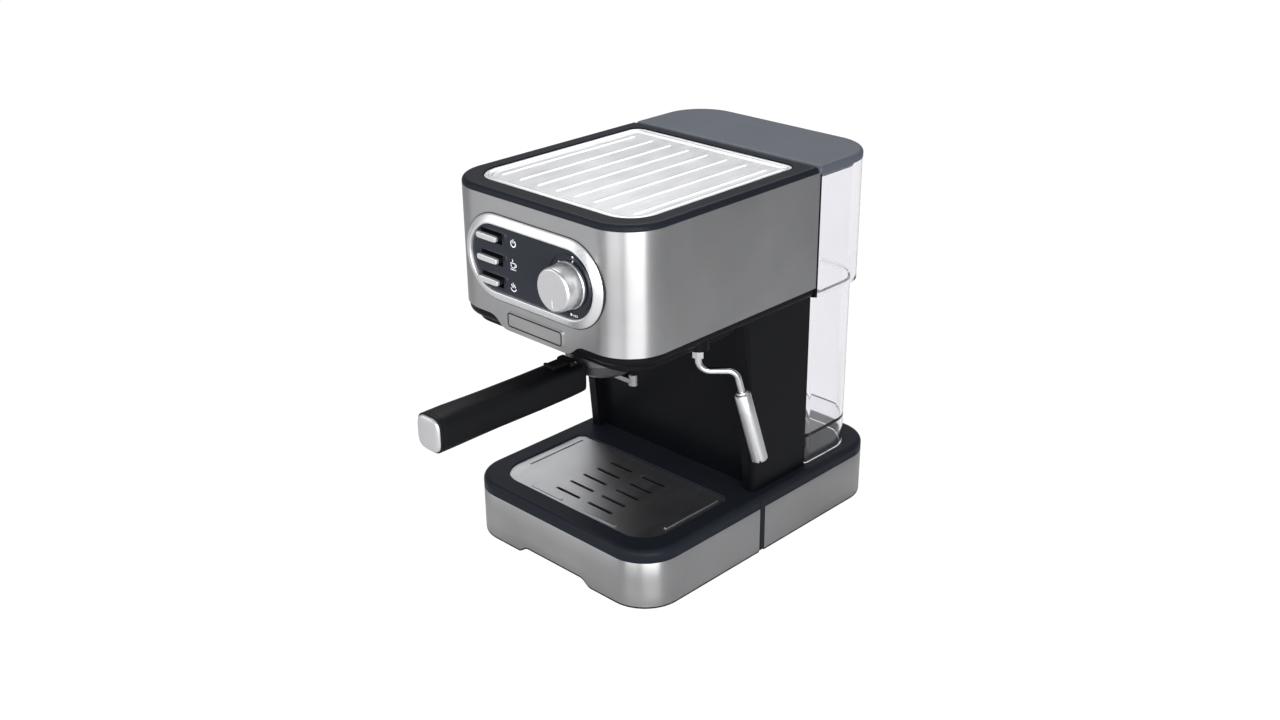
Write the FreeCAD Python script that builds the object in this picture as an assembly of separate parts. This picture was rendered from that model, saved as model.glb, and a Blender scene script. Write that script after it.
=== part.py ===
"""Pump espresso machine: steel-wrapped body on a column, lift-out water tank behind, drip tray in front.

Millimetres.  +X is the machine's right side, +Y its back, +Z up.  The origin is on the counter, under the
middle of the base.  Each sub-part is written to its own STEP file in parts/.
"""
import FreeCAD, Part
import math
import os

Vec = FreeCAD.Vector

# ---- driving dimensions ---------------------------------------------------------------------------
BASE_X = 102.0          # half width of the base
BASE_FRONT = -143.0     # front of the drip tray
BASE_REAR = 143.0       # back of the base
BASE_R = 33.0           # plan radius of the base corners
TRAY_END = -12.0        # back of the drip tray
SHELL_FRONT = -11.5     # front of the fixed part of the base
STRIP_END = -6.0        # the black strip between the two steel bands ends here
BAND_LOW = 3.0
BAND_TOP = 41.3
RIM_LOW = 41.5
DECK = 51.5             # top of the base
SHEET = 0.8             # steel bands
WALL = 2.4              # moulded walls

BODY_X = 98.0           # half width of the upper body
BODY_FRONT = -152.0
BODY_REAR = 53.4
BODY_R = 35.0
BODY_LOW = 210.0        # lower edge of the steel wrap
APRON_LOW = 201.0       # lower edge of the wrap under the badge
BODY_TOP = 303.2
TOP = 308.0             # top of the rim and the lid
WRAP = 1.0
CHIN_X = 96.9
CHIN_LOW = 202.0        # underside of the chin's outer lip
TIER_LOW = 195.5        # underside of the lower tier that carries the group
CHIN_FRONT = -150.9

COLUMN_X = 92.5
COLUMN_TOP_Y = -24.0    # front edge of the column under the body
COLUMN_FOOT_Y = -10.0   # front edge of the column on the deck
PANEL_Y = 52.0          # the back panel's front face
BACK_T = 2.5

PLATE_X = 84.4          # cup warming plate
PLATE_FRONT = -136.0
PLATE_REAR = 43.0
PLATE_R = 24.0          # plan radius of its front corners
RIB_PITCH = 19.7
RIB_COUNT = 8

FACE_Z = 257.0          # centre height of the control panel
BEZEL_W = 145.0
BEZEL_H = 66.0
BEZEL_IN_W = 130.0
BEZEL_IN_H = 52.0
PANEL_FACE = -153.5     # front of the gloss panel
PANEL_BACK = -151.0
KEY_X = -43.0
KEY_W = 22.0
KEY_HEIGHTS = {"power": 273.5, "coffee": 256.5, "steam": 239.5}
KEY_PIVOT_Y = -146.0
KEY_TIP_Y = -159.5
KNOB_X = 40.5
KNOB_FACE = -171.0
KNOB_R = 16.5
KNOB_FOOT_R = 17.5
SPINDLE_R = 3.0
RUNNING = 0.06          # radial clearance of pins and shafts that turn

GROUP_Y = -82.0         # the coffee group's axis stands at x 0
COLLAR_R = 38.0
COLLAR_LOW = 185.0
CUP_R = 30.5
CUP_LOW = 158.0
CUP_TOP = 192.2
LUG_R = 34.8
SPOUT_X = 31.0          # distance of each nozzle from the axis
LOCK_TURN = 45.0        # degrees between entry and lock

WAND_X = 84.0
WAND_Y = -67.0
WAND_R = 2.6

TANK_X = 96.0           # upper part of the tank
TANK_LOW_X = 92.0       # lower part of the tank
TANK_FRONT = 56.0
TANK_REAR = 131.0
TANK_LOW_REAR = 125.5
TANK_STEP = 200.0
TANK_TOP = 301.2
TANK_FLOOR = 75.0
TANK_WALL = 2.2
VALVE_X = 60.0
VALVE_Y = 80.0
LID_LOW = 301.6
LID_FRONT = 53.9
LID_REAR = 133.0
HINGE_Y = 131.2
HINGE_Z = 303.3
HINGE_X = 45.0

GRID_X = 84.0
GRID_FRONT = -125.0
GRID_REAR = -29.5
GRID_Z = 48.4
GRID_T = 1.4

FOOT_R = 9.0
FOOT_X = 78.0
FOOT_FRONT_Y = -110.0
FOOT_REAR_Y = 112.0


# ---- small helpers ------------------------------------------------------------------------------------
def box(x0, y0, z0, x1, y1, z1):
    """Block between two corners."""
    return Part.makeBox(x1 - x0, y1 - y0, z1 - z0, Vec(x0, y0, z0))


def post(x, y, z0, z1, r):
    """Upright cylinder."""
    return Part.makeCylinder(r, z1 - z0, Vec(x, y, z0))


def rod(start, end, r):
    """Cylinder from one point to another."""
    run = end - start
    return Part.makeCylinder(r, run.Length, start, run)


def rounded_wire(corners):
    """Closed wire through (point, radius) corners, each rounded by an arc tangent to its two sides."""
    edges = []
    starts = []
    ends = []
    arcs = []
    for i, (point, r) in enumerate(corners):
        back = corners[i - 1][0].sub(point).normalize()
        ahead = corners[(i + 1) % len(corners)][0].sub(point).normalize()
        if r <= 0:
            starts.append(point)
            ends.append(point)
            arcs.append(None)
            continue
        half = back.getAngle(ahead) / 2
        middle = back.add(ahead).normalize()
        starts.append(point + back * (r / math.tan(half)))
        ends.append(point + ahead * (r / math.tan(half)))
        arcs.append(point + middle * (r / math.sin(half) - r))
    for i in range(len(corners)):
        if arcs[i] is not None:
            edges.append(Part.Arc(starts[i], arcs[i], ends[i]).toShape())
        following = starts[(i + 1) % len(corners)]
        if ends[i].sub(following).Length > 1e-6:
            edges.append(Part.LineSegment(ends[i], following).toShape())
    return Part.Wire(edges)


def prism(x, y0, y1, z0, z1, r_front, r_rear):
    """Upright slab, symmetric about x 0, with rounded front and rear corners in plan."""
    corners = [(Vec(-x, y0, z0), r_front), (Vec(x, y0, z0), r_front),
               (Vec(x, y1, z0), r_rear), (Vec(-x, y1, z0), r_rear)]
    return Part.Face(rounded_wire(corners)).extrude(Vec(0, 0, z1 - z0))


def stadium(x, z, width, height, y0, y1):
    """Slab with half-round ends, lying in the XZ plane from y0 to y1."""
    r = height / 2 - 0.001
    w = width / 2
    h = height / 2
    corners = [(Vec(x - w, y0, z - h), r), (Vec(x + w, y0, z - h), r),
               (Vec(x + w, y0, z + h), r), (Vec(x - w, y0, z + h), r)]
    return Part.Face(rounded_wire(corners)).extrude(Vec(0, y1 - y0, 0))


def extrude_xz(points, y0, y1):
    """Polygon in the XZ plane, extruded from y0 to y1."""
    wire = Part.makePolygon([Vec(px, y0, pz) for px, pz in points + points[:1]])
    return Part.Face(wire).extrude(Vec(0, y1 - y0, 0))


def extrude_yz(points, x0, x1):
    """Polygon in the YZ plane, extruded from x0 to x1."""
    wire = Part.makePolygon([Vec(x0, py, pz) for py, pz in points + points[:1]])
    return Part.Face(wire).extrude(Vec(x1 - x0, 0, 0))


def turned(profile, origin, axis):
    """Solid of revolution: (radius, height) profile turned about an axis through origin."""
    wire = Part.makePolygon([Vec(r, 0, h) for r, h in profile + profile[:1]])
    solid = Part.Face(wire).revolve(Vec(0, 0, 0), Vec(0, 0, 1), 360)
    solid.Placement = FreeCAD.Placement(origin, FreeCAD.Rotation(Vec(0, 0, 1), axis))
    return solid


def sector(x, y, z0, z1, r0, r1, start, sweep):
    """Part of an upright ring, from r0 to r1, between two angles in degrees."""
    ring = Part.makeCylinder(r1, z1 - z0, Vec(0, 0, z0), Vec(0, 0, 1), sweep)
    ring = ring.cut(post(0, 0, z0 - 1, z1 + 1, r0))
    ring.Placement = FreeCAD.Placement(Vec(x, y, 0), FreeCAD.Rotation(Vec(0, 0, 1), start))
    return ring


def bent_rod(points, bend, r):
    """Round bar along straight runs joined by tangent arcs of radius bend."""
    pieces = []
    start = points[0]
    for i in range(1, len(points) - 1):
        corner = points[i]
        back = points[i - 1].sub(corner).normalize()
        ahead = points[i + 1].sub(corner).normalize()
        half = back.getAngle(ahead) / 2
        arc_in = corner + back * (bend / math.tan(half))
        pieces.append(rod(start, arc_in, r))
        middle = Vec(back.add(ahead)).normalize()
        centre = corner + middle * (bend / math.sin(half))
        axis = back.cross(ahead) * -1
        disc = Part.Face(Part.Wire(Part.makeCircle(r, arc_in, back)))
        pieces.append(disc.revolve(centre, axis, math.degrees(math.pi - 2 * half)))
        start = corner + ahead * (bend / math.tan(half))
    pieces.append(rod(start, points[-1], r))
    return pieces[0].fuse(pieces[1:]).removeSplitter()


def top_edges(shape, z, keep):
    """Edges lying at height z whose middle passes the keep test."""
    found = []
    for edge in shape.Edges:
        flat = abs(edge.BoundBox.ZMin - z) < 1e-4 and abs(edge.BoundBox.ZMax - z) < 1e-4
        if flat and keep(edge.CenterOfMass):
            found.append(edge)
    return found


def slot_plug(x0, y0, x1, y1, r, z0, z1):
    """Upright slab with half-round ends, along X or along Y between two plan points."""
    ends = 0.999 * r
    west, east = min(x0, x1) - r, max(x0, x1) + r
    south, north = min(y0, y1) - r, max(y0, y1) + r
    corners = [(Vec(west, south, z0), ends), (Vec(east, south, z0), ends), (Vec(east, north, z0), ends),
               (Vec(west, north, z0), ends)]
    return Part.Face(rounded_wire(corners)).extrude(Vec(0, 0, z1 - z0))


def write(node, shape):
    """Write one sub-part, and say so if any of its solids is not sound."""
    solids = shape.Solids
    if not solids or not shape.isValid():
        print("NOT SOUND", node, len(solids))
    part = solids[0] if len(solids) == 1 else Part.makeCompound(solids)
    part.exportStep("parts/" + node + ".step")
    print("%-18s solids %2d  volume %9.0f" % (node, len(solids), part.Volume))


def tray_notch(y0, y1):
    """Finger notch in the lower front edge of the tray, wider at the bottom."""
    return extrude_xz([(-41, BAND_LOW - 1), (41, BAND_LOW - 1), (31, 8.4), (-31, 8.4)], y0, y1)


# ---- base ------------------------------------------------------------------------------------------------
def base_shell():
    """Moulded rear base: deck with a rounded rim, walls behind the steel band, front wall behind the tray."""
    deck = prism(BASE_X, SHELL_FRONT, BASE_REAR, RIM_LOW, DECK, 0, BASE_R)
    rim = top_edges(deck, DECK, lambda c: c.y > SHELL_FRONT + 1)
    deck = deck.makeFillet(4.5, rim)
    skin = SHEET + 0.1
    wall = prism(BASE_X - skin, SHELL_FRONT, BASE_REAR - skin, BAND_LOW + 0.2, RIM_LOW, 0, BASE_R - skin)
    strips = prism(BASE_X, SHELL_FRONT, STRIP_END, BAND_LOW + 0.2, RIM_LOW, 0, 0)
    inner = prism(BASE_X - skin - WALL, SHELL_FRONT + WALL, BASE_REAR - skin - WALL, 0, DECK - 3, 0,
                  BASE_R - skin - WALL)
    shell = deck.fuse([wall, strips]).cut(inner)
    socket_hole = post(VALVE_X, VALVE_Y, DECK - 4, DECK + 1, 6)
    wire_hole = box(-60, 0, DECK - 4, 50, 45, DECK + 1)
    cord_hole = rod(Vec(-70, BASE_REAR - 6, 24), Vec(-70, BASE_REAR + 1, 24), 6)
    runway = box(-94.4, SHELL_FRONT - 1, 0, 94.4, SHELL_FRONT + WALL + 1, BAND_LOW + 2.7)
    return shell.cut([socket_hole, wire_hole, cord_hole, runway]).removeSplitter()


def base_band():
    """Brushed steel strip round the sides and back of the rear base."""
    outer = prism(BASE_X, STRIP_END + 0.1, BASE_REAR, BAND_LOW, BAND_TOP, 0, BASE_R)
    inner = prism(BASE_X - SHEET, STRIP_END - 1, BASE_REAR - SHEET, BAND_LOW - 1, BAND_TOP + 1, 0,
                  BASE_R - SHEET)
    return outer.cut([inner, rod(Vec(-70, BASE_REAR - 6, 24), Vec(-70, BASE_REAR + 1, 24), 8.1)])


def screw_places():
    """Plan places of the screws that hold the bottom plate."""
    return [(-84, 6), (84, 6), (-84, 88), (84, 88)]


def feet_places():
    """Plan places of the four feet."""
    return [(-FOOT_X, FOOT_FRONT_Y), (FOOT_X, FOOT_FRONT_Y), (-FOOT_X, FOOT_REAR_Y), (FOOT_X, FOOT_REAR_Y)]


def bottom_plate():
    """Plate that closes the rear base and runs forward under the drip tray as its runway."""
    rear = prism(98.2, -8.8, 139.4, BAND_LOW + 0.2, BAND_LOW + 2.4, 0, 29)
    front = prism(94, -134, -8.8, BAND_LOW + 0.2, BAND_LOW + 2.4, 24, 0)
    plate = rear.fuse(front).removeSplitter()
    for x, y in feet_places():
        plate = plate.cut(post(x, y, 0, 10, 3.05))
    for x, y in screw_places():
        plate = plate.cut(post(x, y, 0, 10, 1.8))
    vents = [box(-50, y, 0, 50, y + 3, 10) for y in range(30, 80, 9)]
    return plate.cut(vents)


def rubber_feet():
    """Four soft feet, each a disc with a stub pushed into the plate."""
    feet = []
    for x, y in feet_places():
        disc = post(x, y, 0, BAND_LOW + 0.2, FOOT_R)
        disc = disc.makeFillet(0.8, top_edges(disc, 0, lambda c: True))
        feet.append(disc.fuse(post(x, y, BAND_LOW + 0.1, 6.2, 3.0)))
    return Part.makeCompound(feet)


def case_screws():
    """Screws of the bottom plate and of the back panel, all the same."""
    head = 0.9
    profile = [(0, 0), (2.8, 0), (2.8, head), (1.5, head), (1.5, 9), (0, 9)]
    screws = []
    for x, y in screw_places():
        screws.append(turned(profile, Vec(x, y, BAND_LOW + 0.2 - head), Vec(0, 0, 1)))
    for x, z in back_screw_places():
        screws.append(turned(profile, Vec(x, PANEL_Y + BACK_T + head, z), Vec(0, -1, 0)))
    return Part.makeCompound(screws)


# ---- column and back -----------------------------------------------------------------------------
def column_shell():
    """Hollow column: two thick cheeks with a recessed front wall between them."""
    top = CHIN_LOW - 0.1
    outer = extrude_yz([(COLUMN_TOP_Y, top), (COLUMN_FOOT_Y, DECK), (PANEL_Y, DECK), (PANEL_Y, top)],
                       -COLUMN_X, COLUMN_X)
    slant = [e for e in outer.Edges if abs(e.tangentAt(e.FirstParameter).x) < 0.01
             and e.CenterOfMass.y < 0 and e.BoundBox.ZLength > 50]
    outer = outer.makeFillet(4, slant)
    recess = extrude_yz([(COLUMN_TOP_Y - 9, top + 1), (COLUMN_FOOT_Y - 9, DECK - 1),
                         (COLUMN_FOOT_Y + 9, DECK - 1), (COLUMN_TOP_Y + 9, top + 1)], -82, 82)
    inner = extrude_yz([(COLUMN_TOP_Y + 9 + WALL, top + 1), (COLUMN_FOOT_Y + 9 + WALL, DECK - 1),
                        (PANEL_Y + 1, DECK - 1), (PANEL_Y + 1, top + 1)],
                       -COLUMN_X + WALL, COLUMN_X - WALL)
    shell = outer.cut([recess, inner])
    return shell.removeSplitter()


def back_screw_places():
    """Places (x, z) of the screws through the back panel."""
    return [(-82, 70), (82, 70), (-82, 185), (82, 185), (-82, 285), (82, 285)]


def back_panel():
    """Cover behind the column and the upper body: vent slots, and a flange that caps the steel's rear edge."""
    low = CHIN_LOW + 0.1
    lower = box(-COLUMN_X, PANEL_Y + 0.1, DECK + 0.1, COLUMN_X, PANEL_Y + BACK_T, low)
    upper = box(-BODY_X + 1.4, PANEL_Y + 0.1, low, BODY_X - 1.4, PANEL_Y + BACK_T, LID_LOW - 0.4)
    flange = box(-BODY_X, BODY_REAR + 0.1, low, BODY_X, TANK_FRONT - 0.4, LID_LOW - 0.4)
    window = box(-BODY_X + 4, BODY_REAR - 1, low + 4, BODY_X - 4, TANK_FRONT + 1, LID_LOW - 4)
    panel = lower.fuse([upper, flange.cut(window)])
    slots = []
    for side in (-1, 1):
        for i in range(6):
            slots.append(box(side * 40 - 18, PANEL_Y - 1, 225 + 9 * i, side * 40 + 18, PANEL_Y + 5, 228 + 9 * i))
    for x, z in back_screw_places():
        slots.append(rod(Vec(x, PANEL_Y - 1, z), Vec(x, PANEL_Y + 5, z), 1.8))
    return panel.cut(slots)


def tank_socket():
    """Socket on the deck that the tank's valve drops into, with the pin that opens the valve."""
    profile = [(0, 0), (5.9, 0), (5.9, 6), (14, 6), (14, 14.5), (10.2, 14.5), (10.2, 7.5), (1.8, 7.5), (1.8, 14.1),
               (0, 14.1)]
    socket = turned(profile, Vec(VALVE_X, VALVE_Y, DECK - 6), Vec(0, 0, 1))
    return socket.cut(post(VALVE_X + 3.9, VALVE_Y, DECK - 8, DECK + 4, 0.9))


# ---- upper body --------------------------------------------------------------------------------------
def body_wrap():
    """Brushed steel sheet bent round the front and sides, with the panel opening and the badge apron."""
    outer = prism(BODY_X, BODY_FRONT, BODY_REAR, APRON_LOW, BODY_TOP, BODY_R, 0)
    inner = prism(BODY_X - WRAP, BODY_FRONT + WRAP, BODY_REAR + 5, APRON_LOW - 1, BODY_TOP + 1,
                  BODY_R - WRAP, 0)
    wrap = outer.cut(inner)
    low = APRON_LOW - 1
    for side in (-1, 1):
        notch = [(side * 34, low), (side * 130, low), (side * 130, BODY_LOW), (side * 46, BODY_LOW)]
        wrap = wrap.cut(extrude_xz(notch, BODY_FRONT - 5, BODY_REAR + 5))
    bends = [e for e in wrap.Edges if abs(e.tangentAt(e.FirstParameter).y) > 0.99 and e.Length < 1.5 * WRAP
             and abs(e.CenterOfMass.x) < 50 and e.CenterOfMass.z < BODY_LOW + 0.5]
    wrap = wrap.makeFillet(13, bends)
    return wrap.cut(stadium(0, FACE_Z, 136, 58, BODY_FRONT - 3, BODY_FRONT + 3))


def chin_shell():
    """Moulded underside of the upper body, with the hole for the group and a lower inner ridge."""
    rear = COLUMN_TOP_Y - 4
    outer = prism(CHIN_X, CHIN_FRONT, PANEL_Y, CHIN_LOW, BODY_LOW - 0.3, BODY_R - 1, 0)
    outer = outer.makeFillet(4.5, top_edges(outer, CHIN_LOW, lambda c: c.y < PANEL_Y - 1))
    tier = prism(CHIN_X - 8, CHIN_FRONT + 8, rear, TIER_LOW, CHIN_LOW + 1, BODY_R - 10, 8)
    tier = tier.makeFillet(2, top_edges(tier, TIER_LOW, lambda c: True))
    boss = post(WAND_X, WAND_Y, TIER_LOW - 2, CHIN_LOW + 1, 8.5)
    inner = prism(CHIN_X - WALL, CHIN_FRONT + WALL, PANEL_Y + 1, CHIN_LOW + WALL, BODY_LOW + 1,
                  BODY_R - 1 - WALL, 0)
    tier_inner = prism(CHIN_X - 8 - WALL, CHIN_FRONT + 8 + WALL, rear - WALL, TIER_LOW + WALL, BODY_LOW,
                       BODY_R - 10 - WALL, 6)
    shell = outer.fuse([tier]).cut([inner, tier_inner]).fuse(boss)
    group_hole = post(0, GROUP_Y, TIER_LOW - 5, BODY_LOW, COLLAR_R - 1.5)
    wand_hole = post(WAND_X, WAND_Y, TIER_LOW - 5, BODY_LOW, 5.2)
    hose_hole = box(-60, 2, TIER_LOW - 5, 60, 46, BODY_LOW)
    return shell.cut([group_hole, wand_hole, hose_hole]).removeSplitter()


def top_rim():
    """Moulded frame round the warming plate, with a ledge for the plate and a skirt inside the steel."""
    bead = prism(BODY_X, BODY_FRONT, BODY_REAR, BODY_TOP + 0.1, TOP, BODY_R, 3)
    bead = bead.makeFillet(3.6, top_edges(bead, TOP, lambda c: True))
    skirt = prism(BODY_X - WRAP - 0.3, BODY_FRONT + WRAP + 0.3, PANEL_Y - 0.4, BODY_TOP - 5, BODY_TOP + 1,
                  BODY_R - 1.3, 3)
    opening = prism(PLATE_X + 0.3, PLATE_FRONT - 0.3, PLATE_REAR + 0.3, BODY_TOP + 1.8, TOP + 1, PLATE_R + 0.3, 10.3)
    below = prism(PLATE_X - 3.5, PLATE_FRONT + 3.5, PLATE_REAR - 3.5, BODY_TOP - 6, TOP, PLATE_R - 3.2, 6.8)
    return bead.fuse(skirt).cut([opening, below])


def warming_plate():
    """Pressed steel cup plate with raised ribs and a raised border."""
    low = BODY_TOP + 1.8
    face = low + 1.2
    plate = prism(PLATE_X, PLATE_FRONT, PLATE_REAR, low, face + 0.9, PLATE_R, 10)
    well = prism(PLATE_X - 4, PLATE_FRONT + 4, PLATE_REAR - 4, face, face + 2, PLATE_R - 4, 6)
    plate = plate.cut(well)
    ribs = []
    for i in range(RIB_COUNT):
        x = (i - (RIB_COUNT - 1) / 2) * RIB_PITCH
        rib = slot_plug(x, -117, x, 23, 1.8, face - 0.1, face + 0.9)
        ribs.append(rib.makeFillet(0.6, top_edges(rib, face + 0.9, lambda c: True)))
    return plate.fuse(ribs)


# ---- control panel ---------------------------------------------------------------------------------
def panel_bezel():
    """Convex satin ring round the panel, with a collar through the steel."""
    ring = stadium(0, FACE_Z, BEZEL_W, BEZEL_H, BODY_FRONT - 4, BODY_FRONT - 0.05)
    front = [e for e in ring.Edges if e.BoundBox.YMax < BODY_FRONT - 3.9]
    ring = ring.makeFillet(3.2, front)
    collar = stadium(0, FACE_Z, 135.6, 57.6, BODY_FRONT - 1, BODY_FRONT + 2)
    return ring.fuse(collar).cut(stadium(0, FACE_Z, BEZEL_IN_W, BEZEL_IN_H, BODY_FRONT - 8, BODY_FRONT + 5))


def control_panel():
    """Gloss panel with three key slots, a knob hole and a turned groove round the knob."""
    panel = stadium(0, FACE_Z, BEZEL_IN_W - 0.4, BEZEL_IN_H - 0.4, PANEL_FACE, PANEL_BACK)
    cuts = [rod(Vec(KNOB_X, -160, FACE_Z), Vec(KNOB_X, -140, FACE_Z), 6)]
    for z in KEY_HEIGHTS.values():
        cuts.append(box(KEY_X - KEY_W / 2 - 1, -160, z - 5, KEY_X + KEY_W / 2 + 1, -140, z + 4))
    groove = rod(Vec(KNOB_X, PANEL_FACE - 1, FACE_Z), Vec(KNOB_X, PANEL_FACE + 0.8, FACE_Z), 22.5)
    cuts.append(groove.cut(rod(Vec(KNOB_X, -160, FACE_Z), Vec(KNOB_X, -150, FACE_Z), 21.5)))
    return panel.cut(cuts)


def badge_plate():
    """Blank badge plate on the apron."""
    plate = Part.Face(rounded_wire([(Vec(-30, BODY_FRONT - 1.2, 204.6), 2.5), (Vec(30, BODY_FRONT - 1.2, 204.6), 2.5),
                                    (Vec(30, BODY_FRONT - 1.2, 217.4), 2.5), (Vec(-30, BODY_FRONT - 1.2, 217.4), 2.5)]))
    return plate.extrude(Vec(0, 1.15, 0))


def switch_block():
    """Three microswitches on a carrier whose two ears hold the key pivots."""
    low = min(KEY_HEIGHTS.values()) - 8
    high = max(KEY_HEIGHTS.values()) + 8
    carrier = box(KEY_X - 15.8, -132, low, KEY_X + 15.8, -129, high)
    ears = []
    for side in (-1, 1):
        x0 = KEY_X + side * 14.5
        ears.append(box(x0 - 1.3, -149.7, low, x0 + 1.3, -129, high))
    block = carrier.fuse(ears)
    for z in KEY_HEIGHTS.values():
        block = block.fuse(box(KEY_X - 8, -140, z - 6, KEY_X + 8, -129, z - 3.5))
        pivot = rod(Vec(KEY_X - 20, KEY_PIVOT_Y, z), Vec(KEY_X + 20, KEY_PIVOT_Y, z), 1.5 + RUNNING)
        block = block.cut(pivot)
    return block


def key_lever(z):
    """Black key with its two pivot stubs; the chrome tip is pushed over its end."""
    bar = box(KEY_X - 10.4, -156, z - 1.8, KEY_X + 10.4, -142, z + 1.8)
    pivot = rod(Vec(KEY_X - 15.6, KEY_PIVOT_Y, z), Vec(KEY_X + 15.6, KEY_PIVOT_Y, z), 1.5)
    hub = rod(Vec(KEY_X - 12.4, KEY_PIVOT_Y, z), Vec(KEY_X + 12.4, KEY_PIVOT_Y, z), 2.4)
    return bar.fuse([pivot, hub]).removeSplitter()


def key_tip(z):
    """Chrome cap of a key, with rounded edges."""
    tip = box(KEY_X - KEY_W / 2, KEY_TIP_Y, z - 2.3, KEY_X + KEY_W / 2, -156.05, z + 2.3)
    return tip.makeFillet(0.9, [e for e in tip.Edges if e.CenterOfMass.y < -157])


def steam_valve():
    """Brass needle valve behind the panel, with a bore for the spindle."""
    body = box(KNOB_X - 12, -146, FACE_Z - 12, KNOB_X + 12, -120, FACE_Z + 12)
    boss = rod(Vec(KNOB_X, -150.5, FACE_Z), Vec(KNOB_X, -145, FACE_Z), 8.5)
    bore = rod(Vec(KNOB_X, -152, FACE_Z), Vec(KNOB_X, -126, FACE_Z), SPINDLE_R + RUNNING)
    return body.fuse(boss).cut(bore)


def valve_spindle():
    """Steel spindle with a needle point, carried by the knob."""
    return turned([(0, 0), (SPINDLE_R, 0), (SPINDLE_R, 34), (1.2, 38.5), (0, 39)],
                  Vec(KNOB_X, -166, FACE_Z), Vec(0, 1, 0))


def knob():
    """Turned steam knob with a flange, a shallow taper, a bevelled face and a pointer groove."""
    depth = PANEL_FACE - 0.4 - KNOB_FACE
    profile = [(SPINDLE_R + 0.01, depth), (KNOB_FOOT_R, depth), (KNOB_FOOT_R, depth - 2.4),
               (KNOB_FOOT_R - 0.6, depth - 3), (KNOB_R, 2.0), (KNOB_R - 0.6, 0.6), (KNOB_R - 1.8, 0), (0, 0),
               (0, 5), (SPINDLE_R + 0.01, 5)]
    body = turned(profile, Vec(KNOB_X, KNOB_FACE, FACE_Z), Vec(0, 1, 0))
    pointer = box(KNOB_X - 0.7, KNOB_FACE - 1, FACE_Z - KNOB_R - 1, KNOB_X + 0.7, KNOB_FACE + 0.6, FACE_Z - 4)
    return body.cut(pointer)


# ---- coffee group and boiler ------------------------------------------------------------------
def group_collar():
    """Bayonet collar: a ring with a lip, a lug groove above it and two entry gaps in the lip."""
    ring = post(0, GROUP_Y, COLLAR_LOW, TIER_LOW - 0.3, COLLAR_R)
    ring = ring.makeFillet(1.5, top_edges(ring, COLLAR_LOW, lambda c: True))
    neck = post(0, GROUP_Y, TIER_LOW - 0.5, 197.8, COLLAR_R - 1.9)
    bore = post(0, GROUP_Y, COLLAR_LOW - 1, 199, CUP_R + 1)
    groove = post(0, GROUP_Y, 188.3, 193.9, LUG_R + 0.5)
    collar = ring.fuse(neck).cut([bore, groove])
    for start in (-LOCK_TURN - 23, 180 - LOCK_TURN - 23):
        collar = collar.cut(sector(0, GROUP_Y, COLLAR_LOW - 1, 189, CUP_R, LUG_R + 0.5, start, 46))
    return collar.removeSplitter()


def group_gasket():
    """Rubber ring that the basket's rim is pressed against."""
    return turned([(24.5, 0), (30.8, 0), (30.8, 4.2), (24.5, 4.2)], Vec(0, GROUP_Y, 193.7), Vec(0, 0, 1))


def shower_screen():
    """Perforated steel disc under the boiler; the holes run in three rings."""
    disc = turned([(2.1, 0), (24, 0), (24, 3), (23, 3), (23, 0.8), (2.1, 0.8)], Vec(0, GROUP_Y, 191.2), Vec(0, 0, 1))
    holes = []
    for ring, r in enumerate((9, 14, 19)):
        count = 8 * (ring + 1)
        for i in range(count):
            angle = 2 * math.pi * i / count
            holes.append(post(r * math.cos(angle), GROUP_Y + r * math.sin(angle), 190, 193, 0.7))
    return disc.cut(holes)


def flange_screw_places():
    """Plan places of the four boiler flange screws."""
    places = []
    for i in range(4):
        angle = math.radians(45 + 90 * i)
        places.append((39 * math.cos(angle), GROUP_Y + 39 * math.sin(angle)))
    return places


def boiler_half(z0, z1, flange_z0, flange_z1, cavity_z0, cavity_z1):
    """One cast half of the boiler: a cup with a flange."""
    body = post(0, GROUP_Y, z0, z1, 33).fuse(post(0, GROUP_Y, flange_z0, flange_z1, 44))
    body = body.cut(post(0, GROUP_Y, cavity_z0, cavity_z1, 25))
    for x, y in flange_screw_places():
        body = body.cut(post(x, y, flange_z0 - 1, flange_z1 + 1, 2.05))
    return body.removeSplitter()


def boiler_lower():
    """Lower half, which carries the shower screen's screw."""
    lower = boiler_half(198, 220, 214, 220, 204, 221)
    return lower.cut(post(0, GROUP_Y, 190, 199.5, 2.05))


def boiler_upper():
    """Upper half, with bosses for the two pipes."""
    upper = boiler_half(220.2, 246, 220.2, 226, 219, 240)
    return upper.fuse(post(0, GROUP_Y, 246, 250, 6)).fuse(post(18, GROUP_Y - 10, 246, 250, 5))


def boiler_screws():
    """Four hexagon screws that clamp the two halves, and the screw of the shower screen below them."""
    screws = []
    for x, y in flange_screw_places():
        head = Part.makePolygon([Vec(x + 4 * math.cos(math.pi * k / 3), y + 4 * math.sin(math.pi * k / 3), 226.1)
                                 for k in range(7)])
        head = Part.Face(head).extrude(Vec(0, 0, 3))
        screws.append(head.fuse(post(x, y, 211, 226.2, 2.0)))
    screws.append(turned([(0, 0), (4, 0), (4, 1.15), (2, 1.15), (2, 9), (0, 9)], Vec(0, GROUP_Y, 190), Vec(0, 0, 1)))
    return Part.makeCompound(screws)


def thermostats():
    """Two disc thermostats on the upper boiler half."""
    pair = []
    for x in (-18, -2):
        disc = post(x, GROUP_Y + 18, 246.1, 250, 7)
        pair.append(disc.fuse(box(x - 5, GROUP_Y + 16, 250, x + 5, GROUP_Y + 20, 254)))
    return Part.makeCompound(pair)


# ---- pump, pipes and wiring -------------------------------------------------------------------
PUMP_X = 20.0
PUMP_Y = 27.0


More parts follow.
